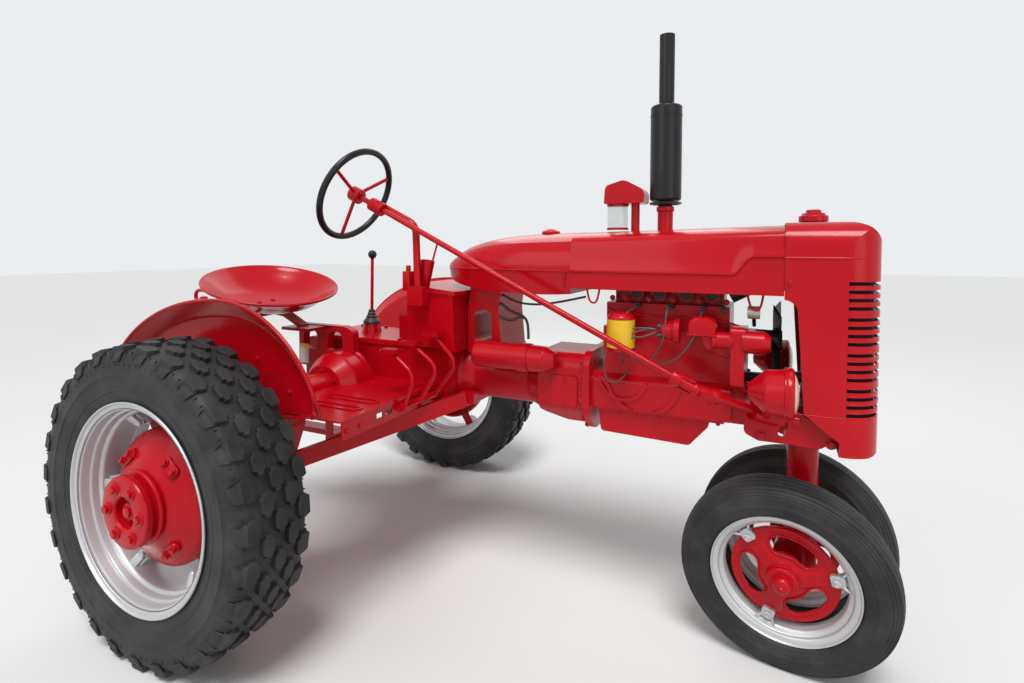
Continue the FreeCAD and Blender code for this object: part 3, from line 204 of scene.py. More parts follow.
def joined(name, pieces):
    letGo()
    for piece in pieces:
        piece.select_set(True)
    bpy.context.view_layer.objects.active = pieces[0]
    bpy.ops.object.join()
    pieces[0].name = name
    return pieces[0]


def copied(piece, matrix, name=None):
    twin = bpy.data.objects.new(name or piece.name, piece.data.copy())
    bpy.context.collection.objects.link(twin)
    twin.data.transform(matrix)
    if matrix.to_3x3().determinant() < 0:
        twin.data.flip_normals()
    return twin


def discard(piece):
    bpy.data.objects.remove(piece)


def repeated(name, piece, matrices):
    twins = [copied(piece, matrix) for matrix in matrices]
    discard(piece)
    return joined(name, twins)


def facing(point, way):  # stands a piece made along Z on a point, looking along a way
    return Matrix.Translation(Vector(point) * mm) @ Vector(way).to_track_quat("Z", "Y").to_matrix().to_4x4()


def outward(angle):  # from an axle, with the angle from straight up
    return Vector((math.sin(angle), 0, math.cos(angle)))


# shader maths: a wire from a socket can be added and multiplied
class Wire:
    def __init__(self, finish, socket):
        self.finish = finish
        self.socket = socket

    def reckon(self, operation, other):
        return self.finish.add("ShaderNodeMath", {"operation": operation}, {0: self, 1: other})

    def __add__(self, other):
        return self.reckon("ADD", other)

    def __mul__(self, other):
        return self.reckon("MULTIPLY", other)

    __radd__ = __add__
    __rmul__ = __mul__


class Finish:
    def __init__(self, name):
        self.material = bpy.data.materials.new(name)
        self.material.use_nodes = True
        self.tree = self.material.node_tree
        self.shader = self.tree.nodes["Principled BSDF"]

    def add(self, kind, settings, inputs, out=0):
        made = self.tree.nodes.new(kind)
        for key, value in settings.items():
            if key == "stops":
                for element, (place, colour) in zip(made.color_ramp.elements, value):
                    element.position = place
                    element.color = colour
            else:
                setattr(made, key, value)
        for key, value in inputs.items():
            self.feed(made.inputs[key], value)
        return Wire(self, made.outputs[out])

    def feed(self, socket, value):
        if isinstance(value, Wire):
            self.tree.links.new(value.socket, socket)
        else:
            socket.default_value = value

    def give(self, **values):
        for key, value in values.items():
            self.feed(self.shader.inputs[key.replace("_", " ")], value)
        return self.material

    def place(self):
        return self.add("ShaderNodeTexCoord", {}, {}, "Object")

    def noise(self, scale, detail=3.0, roughness=0.5):
        return self.add("ShaderNodeTexNoise", {}, {
            "Vector": self.place(), "Scale": scale, "Detail": detail, "Roughness": roughness})

    def bands(self, way, scale):
        return self.add("ShaderNodeTexWave", {"wave_type": "BANDS", "bands_direction": way}, {
            "Vector": self.place(), "Scale": scale, "Distortion": 0.0, "Detail": 0.0})

    def mixed(self, factor, first, second):
        return self.add("ShaderNodeMix", {"data_type": "RGBA"}, {0: factor, 6: first, 7: second}, 2)

    def between(self, factor, low, high):
        return self.add("ShaderNodeValToRGB", {"stops": [(low, (0, 0, 0, 1)), (high, (1, 1, 1, 1))]}, {"Fac": factor})

    def bump(self, height, strength, distance):
        return self.add("ShaderNodeBump", {}, {"Height": height, "Strength": strength, "Distance": distance}, "Normal")


def paintFinish(name, colour, deep, rough, grain, grainScale, coat):
    finish = Finish(name)
    clouds = finish.noise(2.3, 4.0)
    skin = finish.noise(grainScale, 3.0)
    return finish.give(
        Base_Color=finish.mixed(finish.between(clouds, 0.35, 0.7), colour, deep),
        Roughness=finish.noise(7.0, 5.0) * 0.12 + (rough - 0.06),
        Normal=finish.bump(skin + finish.noise(24.0, 2.0) * 1.5, grain, 0.0012),
        Specular_IOR_Level=0.16, Coat_Weight=coat, Coat_Roughness=0.08)


def silverFinish():
    finish = Finish("aluminiumPaint")
    flakes = finish.noise(900.0, 2.0)
    clouds = finish.noise(5.0, 4.0)
    return finish.give(
        Base_Color=finish.mixed(clouds, (0.60, 0.61, 0.62, 1), (0.48, 0.49, 0.50, 1)),
        Metallic=0.35 + flakes * 0.3,
        Roughness=0.30 + clouds * 0.16,
        Normal=finish.bump(flakes + finish.noise(60.0, 2.0), 0.10, 0.0008))


def rubberFinish():
    finish = Finish("tyreRubber")
    worn = finish.noise(9.0, 6.0, 0.6)
    fine = finish.noise(420.0, 3.0)
    return finish.give(
        Base_Color=finish.mixed(finish.between(worn, 0.42, 0.72), (0.017, 0.0175, 0.019, 1), (0.045, 0.043, 0.040, 1)),
        Roughness=0.46 + worn * 0.25,
        Normal=finish.bump(fine + finish.noise(70.0, 4.0) * 1.4, 0.30, 0.0010),
        Specular_IOR_Level=0.30)


def glassFinish():
    finish = Finish("jarGlass")
    return finish.give(
        Base_Color=finish.mixed(finish.noise(30.0, 3.0), (0.80, 0.86, 0.84, 1), (0.70, 0.76, 0.74, 1)),
        Roughness=0.05 + finish.noise(14.0, 3.0) * 0.12, Transmission_Weight=0.85, IOR=1.45)


def lensFinish():
    finish = Finish("lampLens")
    flutes = finish.bands("Y", 48.0)
    return finish.give(
        Base_Color=finish.mixed(flutes, (0.74, 0.68, 0.52, 1), (0.60, 0.53, 0.38, 1)),
        Roughness=0.12 + finish.noise(20.0, 2.0) * 0.1,
        Normal=finish.bump(flutes, 0.5, 0.0015), Coat_Weight=0.7, Coat_Roughness=0.03)


def plainFinish(name, colour, deep, rough, grain, scale, metallic=0.0):
    finish = Finish(name)
    patches = finish.noise(scale, 4.0)
    return finish.give(
        Base_Color=finish.mixed(patches, colour, deep), Metallic=metallic,
        Roughness=rough - 0.08 + finish.noise(scale * 2.2, 4.0) * 0.16,
        Normal=finish.bump(finish.noise(scale * 9.0, 3.0), grain, 0.001))


def coreFinish():
    finish = Finish("radiatorCore")
    fins = finish.bands("Z", 110.0)
    tubes = finish.bands("Y", 26.0)
    return finish.give(
        Base_Color=finish.mixed(tubes, (0.008, 0.008, 0.009, 1), (0.030, 0.029, 0.028, 1)),
        Roughness=0.45 + fins * 0.25, Normal=finish.bump(fins + tubes * 2.0, 0.6, 0.002))


# a near-black sheet with faint stripes, set behind the louvre slots as painted shade for the dark inside of the shell
def louvreShadeFinish():
    finish = Finish("paintedLouvreShade")
    shadeStripes = finish.bands("Z", 90.0)
    return finish.give(
        Base_Color=finish.mixed(shadeStripes, (0.006, 0.005, 0.005, 1), (0.020, 0.012, 0.012, 1)),
        Roughness=0.6 + shadeStripes * 0.2, Normal=finish.bump(shadeStripes, 0.5, 0.001), Specular_IOR_Level=0.2)


redColour = (0.47, 0.0020, 0.0075, 1)
redDeep = (0.40, 0.0014, 0.0060, 1)
looks = {  # a finish, and the slot of the record that it belongs to
    "red": (paintFinish("glossRedSheet", redColour, redDeep, 0.22, 0.05, 160.0, 0.16), "red_paint"),
    "cast": (paintFinish("glossRedCast", redColour, redDeep, 0.28, 0.34, 260.0, 0.12), "red_castings"),
    "black": (paintFinish("satinBlack", (0.012, 0.012, 0.014, 1), (0.02, 0.02, 0.021, 1), 0.36, 0.12, 200.0, 0.15),
              "black_paint"),
    "silver": (silverFinish(), "silver_paint"),
    "rubber": (rubberFinish(), "tyre_rubber"),
    "grip": (paintFinish("gripBlack", (0.010, 0.010, 0.011, 1), (0.016, 0.016, 0.017, 1), 0.28, 0.06, 120.0, 0.2),
             "wheel_grip"),
    "glass": (glassFinish(), "jar_glass")}
paints = {slot: finish for finish, slot in looks.values()}
looks.update({
    "lens": (lensFinish(), "red_paint"),
    # painted shade: the dark sheet behind the louvre slots
    "louvreShade": (louvreShadeFinish(), "black_paint"),
    "hose": (plainFinish("hoseRubber", (0.012, 0.012, 0.013, 1), (0.030, 0.029, 0.028, 1), 0.45, 0.3, 40.0),
             "black_paint"),
    "lead": (plainFinish("leadSkin", (0.035, 0.036, 0.038, 1), (0.075, 0.075, 0.075, 1), 0.30, 0.1, 60.0),
             "black_paint"),
    "yellow": (plainFinish("yellowLabel", (0.80, 0.50, 0.015, 1), (0.72, 0.43, 0.012, 1), 0.35, 0.05, 30.0),
               "red_paint"),
    "zinc": (plainFinish("paleZinc", (0.66, 0.64, 0.58, 1), (0.50, 0.48, 0.43, 1), 0.35, 0.15, 50.0, 0.4),
             "silver_paint"),
    # painted shade: near-black discs for the hollows of the head ports
    "portShade": (plainFinish("paintedPortShade", (0.010, 0.005, 0.005, 1), (0.022, 0.006, 0.006, 1), 0.6, 0.3, 30.0),
               "red_castings")})

for entry in frame["record"]["subparts"]:
    for place in nodes[entry["node"]].material_slots:
        place.material = paints[entry["material_slot"]]
core = coreFinish()
for place in nodes["radiator"].material_slots:
    place.material = core
print("finishes done")


def keep(piece, look, stands=(), body="chassis"):
    finish, slot = looks[look]
    piece.data.materials.clear()
    piece.data.materials.append(finish)
    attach(piece, body)
    if stands:
        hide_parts(*stands)
    return piece


def boltHead(radius, height, sides=6):  # washer, chamfered head and a rounded crown, standing along Z
    head = stub("boltHead", (0, 0, 0), (0, 0, height), radius, sides)
    editAll(head)
    bpy.ops.mesh.select_all(action="DESELECT")
    bpy.ops.object.mode_set(mode="OBJECT")
    for face in head.data.polygons:
        face.select = face.normal.z > 0.9
    bpy.ops.object.mode_set(mode="EDIT")
    bpy.ops.mesh.inset(thickness=radius * 0.16 * mm, depth=0)
    bpy.ops.transform.translate(value=(0, 0, height * 0.14 * mm))
    editDone()
    washer = stub("boltWasher", (0, 0, -height * 0.1), (0, 0, height * 0.16), radius * 1.28, 16, height * 0.05)
    return joined("boltHead", [smoothed(head, 20), washer])


def headAt(point, way, radius, height, sides=6):
    head = boltHead(radius, height, sides)
    head.data.transform(facing(point, way))
    return head


def bolts(name, radius, places, look="cast", height=None):
    head = boltHead(radius, height or radius * 0.9)
    turned = [facing(point, way) @ Matrix.Rotation(random.uniform(0, 1), 4, "Z") for point, way in places]
    keep(repeated(name, head, turned), look)


# wheels: modelled about their own centre with the outer side towards -Y, then set on each hub
def hubFrame(wheel):
    joint = joints[wheel + "_spin"]
    across = Vector(joint["axis"])
    ahead = Vector((across.y, -across.x, 0)).normalized()
    outer = across if wheel.endswith("right") else -across
    turned = Matrix((ahead, outer, ahead.cross(across))).transposed().to_4x4()
    return Matrix.Translation(Vector(joint["pos_m"])) @ turned


def fitted(piece, kind, part, look, stands=False):
    for side in ("right", "left"):
        wheel = kind + "_wheel_" + side
        twin = copied(piece, hubFrame(wheel), part + side.capitalize())
        node = kind + "_" + part.lower().replace(kind, "") + "_" + side
        keep(twin, look, [node] if stands else [], wheel)
    discard(piece)


def bothHalves(half):
    return half + [(radius, -along) for radius, along in reversed(half) if along > 0]


def around(count, turned=0.0):
    return [Matrix.Rotation(fullTurn * index / count + math.radians(turned), 4, "Y") for index in range(count)]


rearTyre = {
    "half": [  # radius and distance from the middle
        (489, 0), (488.5, 40), (487, 70), (485, 92), (480, 104), (472, 110.5), (461, 114.5), (447, 117.3),
        (430, 118.8), (415, 119), (413.5, 120.2), (410.5, 120.3), (409, 118.9), (395, 118), (380, 116.4),
        (367, 114.2), (365.5, 115.2), (362.5, 115), (361, 113), (350, 110.8), (340, 107.8), (333, 105.6),
        (328.6, 104.6), (305.3, 104.4), (305.3, 91), (360, 100), (400, 105), (440, 100), (465, 84), (468, 0)],
    "inner": [(36, -9), (36, 9), (24, 11), (22, 19.5), (-22, 19.5), (-24, 11), (-36, 9), (-36, -9), (-24, -11),
              (-22, -19.5), (22, -19.5), (24, -11)],
    "edge": [(36, -10), (36, 6), (29, 27), (-29, 27), (-36, 6), (-36, -10), (-24, -12), (-22, -19), (22, -19),
             (24, -12)],
    "count": 27, "foot": 476, "top": 504, "corner": 2.2, "taper": 0.93, "chamfer": 1.4, "crown": 1.0,
    "rows": [(0, 0.5, 0.0), (42, 0.0, 1.5), (-42, 0.0, 1.5)], "edgeRow": (84, 0.5, 6.5),  # place, turn, lower by
    "cheek": [(33, 98, 486), (27, 111, 474), (20, 117.5, 452), (-20, 117.5, 452), (-27, 111, 474), (-33, 98, 486)],
    "cheekDepth": (0, 4.2, 1.2),
    "flash": ((-1.1, 111.5, 440), (1.1, 116.5, 481)), "flashTurns": (-4.9, -1.1, 1.1, 4.9)}  # thin mould lines


def treadBlock(outline, drop):
    piece = ringOf("treadBlock", [(x, y, 0) for x, y in outline], True)
    editAll(piece)
    bpy.ops.mesh.bevel(offset=rearTyre["corner"] * mm, affect="VERTICES", segments=1)
    bpy.ops.mesh.select_all(action="SELECT")
    height = (rearTyre["top"] - drop - rearTyre["foot"]) * mm
    bpy.ops.mesh.extrude_region_move(TRANSFORM_OT_translate={"value": (0, 0, height)})
    bpy.ops.transform.resize(value=(rearTyre["taper"], rearTyre["taper"], 1), center_override=(0, 0, height))
    bpy.ops.mesh.inset(thickness=rearTyre["chamfer"] * mm, depth=0)
    bpy.ops.transform.translate(value=(0, 0, rearTyre["crown"] * mm))
    editDone()
    for vertex in piece.data.vertices:  # bend it round the carcass
        reach = (rearTyre["foot"] - rearTyre["crown"]) * mm + vertex.co.z
        turned = vertex.co.x / (rearTyre["top"] * mm)
        vertex.co = (math.sin(turned) * reach, vertex.co.y, math.cos(turned) * reach)
    return smoothed(piece, 25)


def makeRearTyres():
    count = rearTyre["count"]
    parts = [spun("carcass", bothHalves(rearTyre["half"]), steps=108, smooth=40)]
    for across, turned, drop in rearTyre["rows"]:
        moved = [matrix @ Matrix.Translation((0, across * mm, 0)) for matrix in around(count, turned * 360 / count)]
        parts.append(repeated("treadRow", treadBlock(rearTyre["inner"], drop), moved))
    across, turned, drop = rearTyre["edgeRow"]
    turned *= 360 / count
    for side in (1, -1):
        flip = Matrix.Scale(side, 4, alongY)
        moved = [matrix @ flip @ Matrix.Translation((0, across * mm, 0)) for matrix in around(count, turned)]
        parts.append(repeated("edgeRow", treadBlock(rearTyre["edge"], drop), moved))
        cheek = plate("cheek", rearTyre["cheek"], rearTyre["cheekDepth"], 1.5)
        parts.append(repeated("cheekRow", cheek, [matrix @ flip for matrix in around(count, turned)]))
        flash = slab("flash", *rearTyre["flash"])
        for vertex in flash.data.vertices:  # lean it against the shoulder
            foot = 118.5 if vertex.co.z < 460 * mm else 108.5
            vertex.co.y = (foot + (1 if vertex.co.y > 114 * mm else -4)) * mm
        lines = [matrix @ flip for offset in rearTyre["flashTurns"] for matrix in around(count, turned + offset)]
        parts.append(repeated("flashLines", flash, lines))
    fitted(joined("rearTyre", parts), "rear", "rearTyre", "rubber", True)
    print("rear tyres done")


rearRim = {
    "half": [
        (285, 0), (285, 38), (288, 43), (295, 47), (297, 62), (304.6, 66), (304.8, 104), (324, 107), (327.6, 109),
        (328, 112), (326.6, 114.6), (323.6, 114.8), (321.4, 112.6), (320, 107.5), (311, 106), (308.5, 103.4),
        (307, 100), (301.6, 98), (300.4, 94), (300.2, 76), (298.6, 71), (293.4, 68.6), (291.6, 64), (291, 52),
        (289.4, 47.6), (284, 44), (281.4, 40), (280.2, 35), (280, 0)], "steps": 120}
frontRim = {
    "half": [
        (176, 0), (176, 15), (179, 20), (187, 24), (189.8, 28), (190, 35.6), (203, 38), (207.4, 40.4), (208, 43.4),
        (206.4, 45.8), (203.4, 45.6), (201.6, 43.2), (200.6, 39.6), (192.6, 38), (189, 36), (186.4, 33.4),
        (185.6, 28), (183.6, 25.2), (179, 23), (176.4, 20.6), (173, 18), (171.4, 15), (171, 0)], "steps": 108}


def makeRims():
    for kind, rim in (("rear", rearRim), ("front", frontRim)):
        fitted(spun(kind + "Rim", bothHalves(rim["half"]), steps=rim["steps"]), kind, kind + "Rim", "silver", True)
    print("rims done")


frontTyre = {
    "half": [
        (305, 0), (304.8, 6.2), (304, 7), (298, 7.8), (298, 11), (304, 11.8), (304.6, 12.6), (303.6, 24.6),
        (302.8, 25.4), (296.4, 26.2), (296, 29.6), (301.8, 30.4), (302, 31.2), (299.6, 42), (297.4, 44.6),
        (294, 45.2), (291.6, 44.8), (290.6, 46.6), (285.8, 49.8), (284, 49), (282.6, 50.8), (277.6, 53.2),
        (275.8, 52.2), (274.4, 53.6), (266, 55.8), (256, 57.4), (247, 57.8), (245.6, 58.8), (243, 58.8),
        (241.6, 57.4), (232, 56), (222, 52.6), (217, 50.4), (215.6, 51), (213.6, 50), (212.6, 47.6),
        (209.6, 43.6), (208.6, 39), (190.4, 36.2), (190.4, 24), (230, 44), (270, 44), (284, 30), (285, 0)]}


def makeFrontTyres():
    tyre = spun("frontTyre", bothHalves(frontTyre["half"]), steps=120, smooth=40)
    fitted(tyre, "front", "frontTyre", "rubber", True)
    print("front tyres done")


rearHub = {
    "bell": [  # radius and place along the axle
        (46, -112), (47, -132), (51, -137), (60, -137.4), (102, -137), (108, -135), (110.5, -131), (110.5, -118),
        (108, -114),
        (98, -112), (95, -109), (95, -104), (100, -101.5), (112, -99.5), (117, -95), (117, -89), (112, -85.5),
        (108, -84),
        (160, -56), (196, -36.5), (207, -29.5), (214, -22), (218.6, -12), (220, 0), (220.6, 36), (219, 42), (214, 46),
        (207, 46),
        (205.6, 40), (205.6, 0), (203.4, -9), (198, -17), (188, -24), (104, -69), (62, -82), (60, -14), (36, -12),
        (36, -112)],
    "arm": [(-26, 32, 200), (26, 32, 200), (22, 32, 232), (22, 32, 279.7), (-22, 32, 279.7), (-22, 32, 232)],
    "bolts": 6, "boltRing": 78, "boltFoot": 134, "boltTop": 140.5,
    "studs": (38, 142, 218, 322), "studRing": 160, "studApart": 21, "cone": (108, -84, 88, 47.5),  # start, run and rise
    "clamps": 6, "clampTurn": 30,
    "lug": [(-21, 34, 246), (-21, 4, 250), (-21, -10, 262), (-21, -22, 279.5), (-21, 34, 279.5)],
    "foot": [(-15, -8, 257), (-15, -30, 286.5), (-15, -36, 286.5), (-15, -36, 280), (-15, -18, 252)]}


def coneSpot(angle, ring, rise):  # a point and its outward direction on the bell of the rear disc
    foot, level, run, climb = rearHub["cone"]
    slope = math.atan2(climb, run)
    along = level + (ring - foot) * climb / run
    way = outward(angle) * math.sin(slope) - alongY * math.cos(slope)
    return outward(angle) * ring + alongY * along + way * rise, way


def studPad(degrees):  # an oblong boss with two bolts
    angle = math.radians(degrees)
    apart = rearHub["studApart"]
    point, way = coneSpot(angle, rearHub["studRing"], -3)
    across = way.cross(outward(angle)).normalized()
    turned = Matrix((across, way.cross(across), way)).transposed().to_4x4()
    ring = [fullTurn * (step + 0.5) / 20 for step in range(20)]
    outline = [(math.sin(step) * 17 + math.copysign(apart, math.sin(step)), math.cos(step) * 19, 0) for step in ring]
    pad = plate("studPad", outline, (0, 0, 11), 3.5)
    pad.data.transform(Matrix.Translation(point * mm) @ turned)
    parts = [pad]
    for side in (-1, 1):
        spot = point + across * side * apart + way * 10
        parts += [stub("studBoss", spot, spot + way * 4, 13.5, 20, 1.5), headAt(spot + way * 4, way, 10.5, 9)]
    return parts


def makeRearHubs():
    hub = rearHub
    arm = plate("discArm", hub["arm"], (0, 14, 0), 3)
    parts = [spun("rearBell", hub["bell"], steps=96, smooth=28),
             repeated("discArms", arm, around(hub["clamps"], hub["clampTurn"]))]
    for index in range(hub["bolts"]):
        spot = outward(fullTurn * (index + 0.5) / hub["bolts"]) * hub["boltRing"]
        top = spot - alongY * hub["boltTop"]
        parts += [stub("boss", spot - alongY * hub["boltFoot"], top, 20.5, 20, 2),
                  headAt(top, -alongY, 14, 8, 4 if index % 2 else 6)]
    for degrees in hub["studs"]:
        parts += studPad(degrees)
    fitted(joined("rearDisc", parts), "rear", "rearDisc", "cast", True)
    nut = stub("axleNut", (0, -108, 0), (0, -124, 0), 30, 6, 2)
    tip = stub("axleTip", (0, -118, 0), (0, -131, 0), 17, 20, 3)
    fitted(joined("axleNut", [nut, tip]), "rear", "axleNut", "cast")
    clamp = joined("clamp", [plate("clampLug", hub["lug"], (42, 0, 0), 2.5),
                             plate("clampFoot", hub["foot"], (30, 0, 0), 1.5),
                             headAt((0, -6, 258), (0, -0.86, -0.5), 12, 12)])
    fitted(repeated("rearClamps", clamp, around(hub["clamps"], hub["clampTurn"])), "rear", "rearClamps", "silver")
    print("rear hubs done")


frontHub = {
    "dish": [  # radius and place along the axle
        (28, -50), (42, -49), (45, -46), (46, -40), (48, -27), (54, -22), (61.6, -18.4), (80, -15.5), (98, -12),
        (124, -7),
        (136, -5), (141, -7), (147, -8), (151, -6.5), (152, -3), (152, 3), (149, 6), (124, 2), (98, -4), (62, -9),
        (50, -8),
        (48, 0), (48, 38), (28, 40)],
    "cap": [(0, -84), (5, -83.6), (7, -81), (8, -79.4), (14, -78), (21, -74), (26, -68), (28.4, -60), (29, -50),
            (33, -48.6), (34, -46), (34, -30), (0, -30)],
    "ring": [(30, -38), (45, -37), (48, -34), (48, -27), (52, -22), (30, -20)],
    "arms": 3, "turned": 77, "tip": 139, "root": 34, "windowRing": 98.5, "windowHalf": 26.5, "windowTurn": 24.4,
    "ear": [(-13, -36, 26), (13, -36, 26), (8, -36, 44), (0, -36, 51), (-8, -36, 44)], "earBolt": 41,
    "lug": [(-15, -1, 128), (15, -1, 128), (19, -1, 137), (18, -1, 160), (12, -1, 168), (-12, -1, 168), (-18, -1, 160),
            (-19, -1, 137)],
    "wing": [(12, -4, 160), (26, -10, 174.5), (30, -24, 177.5), (22, -26, 172), (10, -18, 160)], "clampRing": 145}


def discFace(radius):  # how far out the dished front disc stands at a radius
    if radius < 61.6:
        return 18.4 + (61.6 - radius) * 0.2
    if radius < 98:
        return 18.4 - (radius - 61.6) * 0.176
    return 12 - (radius - 98) * 0.192


def beanOutline(grow=0.0):  # one window of the front disc, a bent slot with round ends, as (across, out)
    middle, half, turn = frontHub["windowRing"], frontHub["windowHalf"] + grow, math.radians(frontHub["windowTurn"])
    shares = (-1, -0.66, -0.33, 0, 0.33, 0.66, 1)
    outer = [(math.sin(turn * share) * (middle + half), math.cos(turn * share) * (middle + half)) for share in shares]
    inner = [(math.sin(turn * share) * (middle - half), math.cos(turn * share) * (middle - half))
             for share in reversed(shares)]
    ends = []
    for side, steps in ((1, (1, 2, 3, 4, 5)), (-1, (5, 4, 3, 2, 1))):
        for step in steps:
            angle = math.pi * step / 6
            x, z = side * half * math.sin(angle), middle + half * math.cos(angle)
            ends.append((math.cos(turn) * x + side * math.sin(turn) * z,
                         math.cos(turn) * z - side * math.sin(turn) * x))
    return outer + ends[:5] + inner + ends[5:]


def armSpot(column, row):  # a crowned arm from the hub out to its clamp
    across, along = column / 6 - 1, row / 16
    radius = frontHub["root"] + (frontHub["tip"] - frontHub["root"]) * along
    half = 24 + 9 * along ** 2 + 13 * (1 - along) ** 3
    crown = 7.5 * (1 - across ** 4) * (1 - 0.7 * along ** 6) - 1.5
    return across * half, -discFace(radius) - crown, radius


def makeFrontHubs():
    hub = frontHub
    spread = around(hub["arms"], hub["turned"])
    windows = around(hub["arms"], hub["turned"] + 180)
    dish = spun("frontDish", hub["dish"], steps=96, smooth=28)
    cutter = plate("windowCutter", [(x, -60, z) for x, z in beanOutline()], (0, 120, 0))
    cutters = repeated("windowCutters", cutter, windows)
    applied(dish, "BOOLEAN", operation="DIFFERENCE", solver="EXACT", object=cutters)
    discard(cutters)
    smoothed(dish, 28)
    lip = pipe("windowLip", [(x, -discFace(math.hypot(x, z)) - 0.6, z) for x, z in beanOutline(2.2)], 3.6, 3, True)
    lips = repeated("windowLips", lip, windows)
    arms = repeated("frontArms", smoothed(gridOf("frontArm", 13, 17, armSpot), 60), spread)
    editAll(arms)
    editDone()
    parts = [dish, lips, arms, spun("hubCap", hub["cap"], steps=48), spun("hubRing", hub["ring"], steps=48)]
    for index in range(hub["arms"]):  # pointed ears that hold the cap
        angle = fullTurn * (index + 0.25) / hub["arms"]
        ear = plate("capEar", hub["ear"], (0, -6, 0), 1.5)
        ear.data.transform(Matrix.Rotation(angle, 4, "Y"))
        parts += [ear, headAt((outward(angle) - alongY) * hub["earBolt"], -alongY, 6.5, 6)]
    fitted(joined("frontDisc", parts), "front", "frontDisc", "cast", True)
    ring = hub["clampRing"]
    wings = [plate("wing", [(side * x, y, z) for x, y, z in hub["wing"]], (0, 0, -8), 1.5) for side in (-1, 1)]
    clamp = joined("clamp", [plate("lug", hub["lug"], (0, -19, 0), 3), headAt((0, -19, ring), -alongY, 11, 11),
                             stub("stud", (0, -20, ring), (0, -38, ring), 6, 12, 1)] + wings)
    fitted(repeated("frontClamps", clamp, spread), "front", "frontClamps", "silver")
    print("front hubs done")


makeRearTyres()
makeRims()
makeFrontTyres()
makeRearHubs()
makeFrontHubs()


# hood: one pressed sheet whose side crease climbs near its front
hoodShape = {
    "back": 371.2, "front": 1030, "bottom": 1159, "creaseBack": 1219, "creaseFront": 1274, "riseFrom": 888,
    "riseTo": 948,
    "halfBack": 184, "halfFront": 196.5, "topBack": 1354.5, "topFront": 1371.5, "stations": 73, "wall": 3}


def eased(value):
    value = min(max(value, 0.0), 1.0)
    return value * value * (3 - 2 * value)


def hoodLine(x):
    shape = hoodShape
    share = (x - shape["back"]) / (shape["front"] - shape["back"])
    half = shape["halfBack"] + (shape["halfFront"] - shape["halfBack"]) * share
    top = shape["topBack"] + (shape["topFront"] - shape["topBack"]) * share
    rise = eased((x - shape["riseFrom"]) / (shape["riseTo"] - shape["riseFrom"]))
    crease = shape["creaseBack"] + (shape["creaseFront"] - shape["creaseBack"]) * rise
    side = [(half, shape["bottom"]), (half, (shape["bottom"] + crease) / 2), (half, crease - 10),
            (half + 0.5, crease - 5),
            (half + 5.5, crease - 1.5), (half + 6.5, crease + 3), (half + 4, crease + 9)]
    shoulder = top - 46
    for step in (0.35, 0.7, 1.0):
        side.append((half + 2 - 10 * step, crease + 9 + (shoulder - crease - 9) * step))
    for degrees in (20, 42, 64):
        angle = math.radians(degrees)
        side.append((half - 8 - 30 * (1 - math.cos(angle)), shoulder + 26 * math.sin(angle)))
    side += [(half - 42, top - 15.5), (half * 0.58, top - 7.5), (half * 0.30, top - 2)]
    return [(-y, z) for y, z in side] + [(0, top)] + [(y, z) for y, z in reversed(side)]


def hoodSpot(column, row):
    x = hoodShape["back"] + (hoodShape["front"] - hoodShape["back"]) * column / (hoodShape["stations"] - 1)
    return (x, *hoodLine(x)[row])


def makeHood():
    hood = gridOf("hoodSheet", hoodShape["stations"], len(hoodLine(hoodShape["back"])), hoodSpot)
    editAll(hood)
    editDone()
    if hood.data.polygons[0].normal.y > 0:
        hood.data.flip_normals()
    applied(hood, "SOLIDIFY", thickness=hoodShape["wall"] * mm, offset=-1)
    keep(smoothed(hood, 40), "red", ["hood"])
    print("hood done")


makeHood()


# radiator shell: louvre lips, a near-black sheet of painted shade behind them and two seams follow one outline round
# its front
shellShape = {
    "half": 200, "front": 1274.8, "corner": 92, "crown": 6, "crownHalf": 108,
    "louvres": (825.1, 100, 23), "groups": 4, "lipLevels": (-0.6, 12.6), "lipStart": 1191.5, "lipEnd": -16.5,
    "louvreShade": (1160, 806, 428), "louvreShadeStand": -13,  # start, foot and height
    "seams": ((1270.2, 1031.2, 4.2, -1.8), (820.5, 1065.2, 1.6, -0.8))}  # level, start, radius and stand


def shellEdge(start, end, stand):  # points round the shell's right corner, from the side to the middle
    shape = shellShape
    side = -shape["half"] - stand
    centreX = shape["front"] - shape["corner"]
    centreY = shape["corner"] - shape["half"]
    reach = shape["corner"] + stand
    points = [(start, side)]
    if start < centreX - 20:
        points.append((centreX - 10, side))
    for degrees in range(0, 91, 10):
        angle = math.radians(degrees)
        points.append((centreX + reach * math.sin(angle), centreY - reach * math.cos(angle)))
    for y in (-75, -50, -25, 0):
        points.append((shape["front"] + stand + shape["crown"] * (1 - (y / shape["crownHalf"]) ** 2) * 0.9, y))
    return [(x, y) for x, y in points if x >= start and y <= end]


def wholeEdge(start, stand):
    right = shellEdge(start, 0, stand)
    return right + [(x, -y) for x, y in reversed(right[:-1])]


def makeShell():
    shape = shellShape
    first, groupStep, step = shape["louvres"]
    line = shellEdge(shape["lipStart"], shape["lipEnd"], shape["lipLevels"][0])
    lips = [pipe("lip", [(x, y, first + group * groupStep + index * step + level) for x, y in line], 1.9, 2)
            for group in range(shape["groups"]) for index in range(shape["groups"]) for level in shape["lipLevels"]]
    keep(joined("louvreLips", lips + [copied(lip, mirrorY) for lip in lips]), "red")
    # the sheet behind the louvre slots is painted shade for the dark inside of the shell
    start, foot, height = shape["louvreShade"]
    edge = wholeEdge(start, shape["louvreShadeStand"])
    louvreShade = gridOf("louvreShadeSheet", len(edge), 9, lambda column, row: (*edge[column], foot + height * row / 8))
    applied(louvreShade, "SOLIDIFY", thickness=1.6 * mm)
    keep(smoothed(louvreShade, 30), "louvreShade")
    seams = [pipe("seam", [(x, y, level) for x, y in wholeEdge(start, stand)], radius)
             for level, start, radius, stand in shape["seams"]]
    keep(joined("shellSeams", seams), "red")
    bolts("shellBolts", 7.5, [((1044, side * shape["half"], 1201), (0, side, 0)) for side in (-1, 1)], "red")
    bolts("chinKnob", 9, [((1281, 0, 842), alongX)], "red", 12)
    print("shell done")


makeShell()


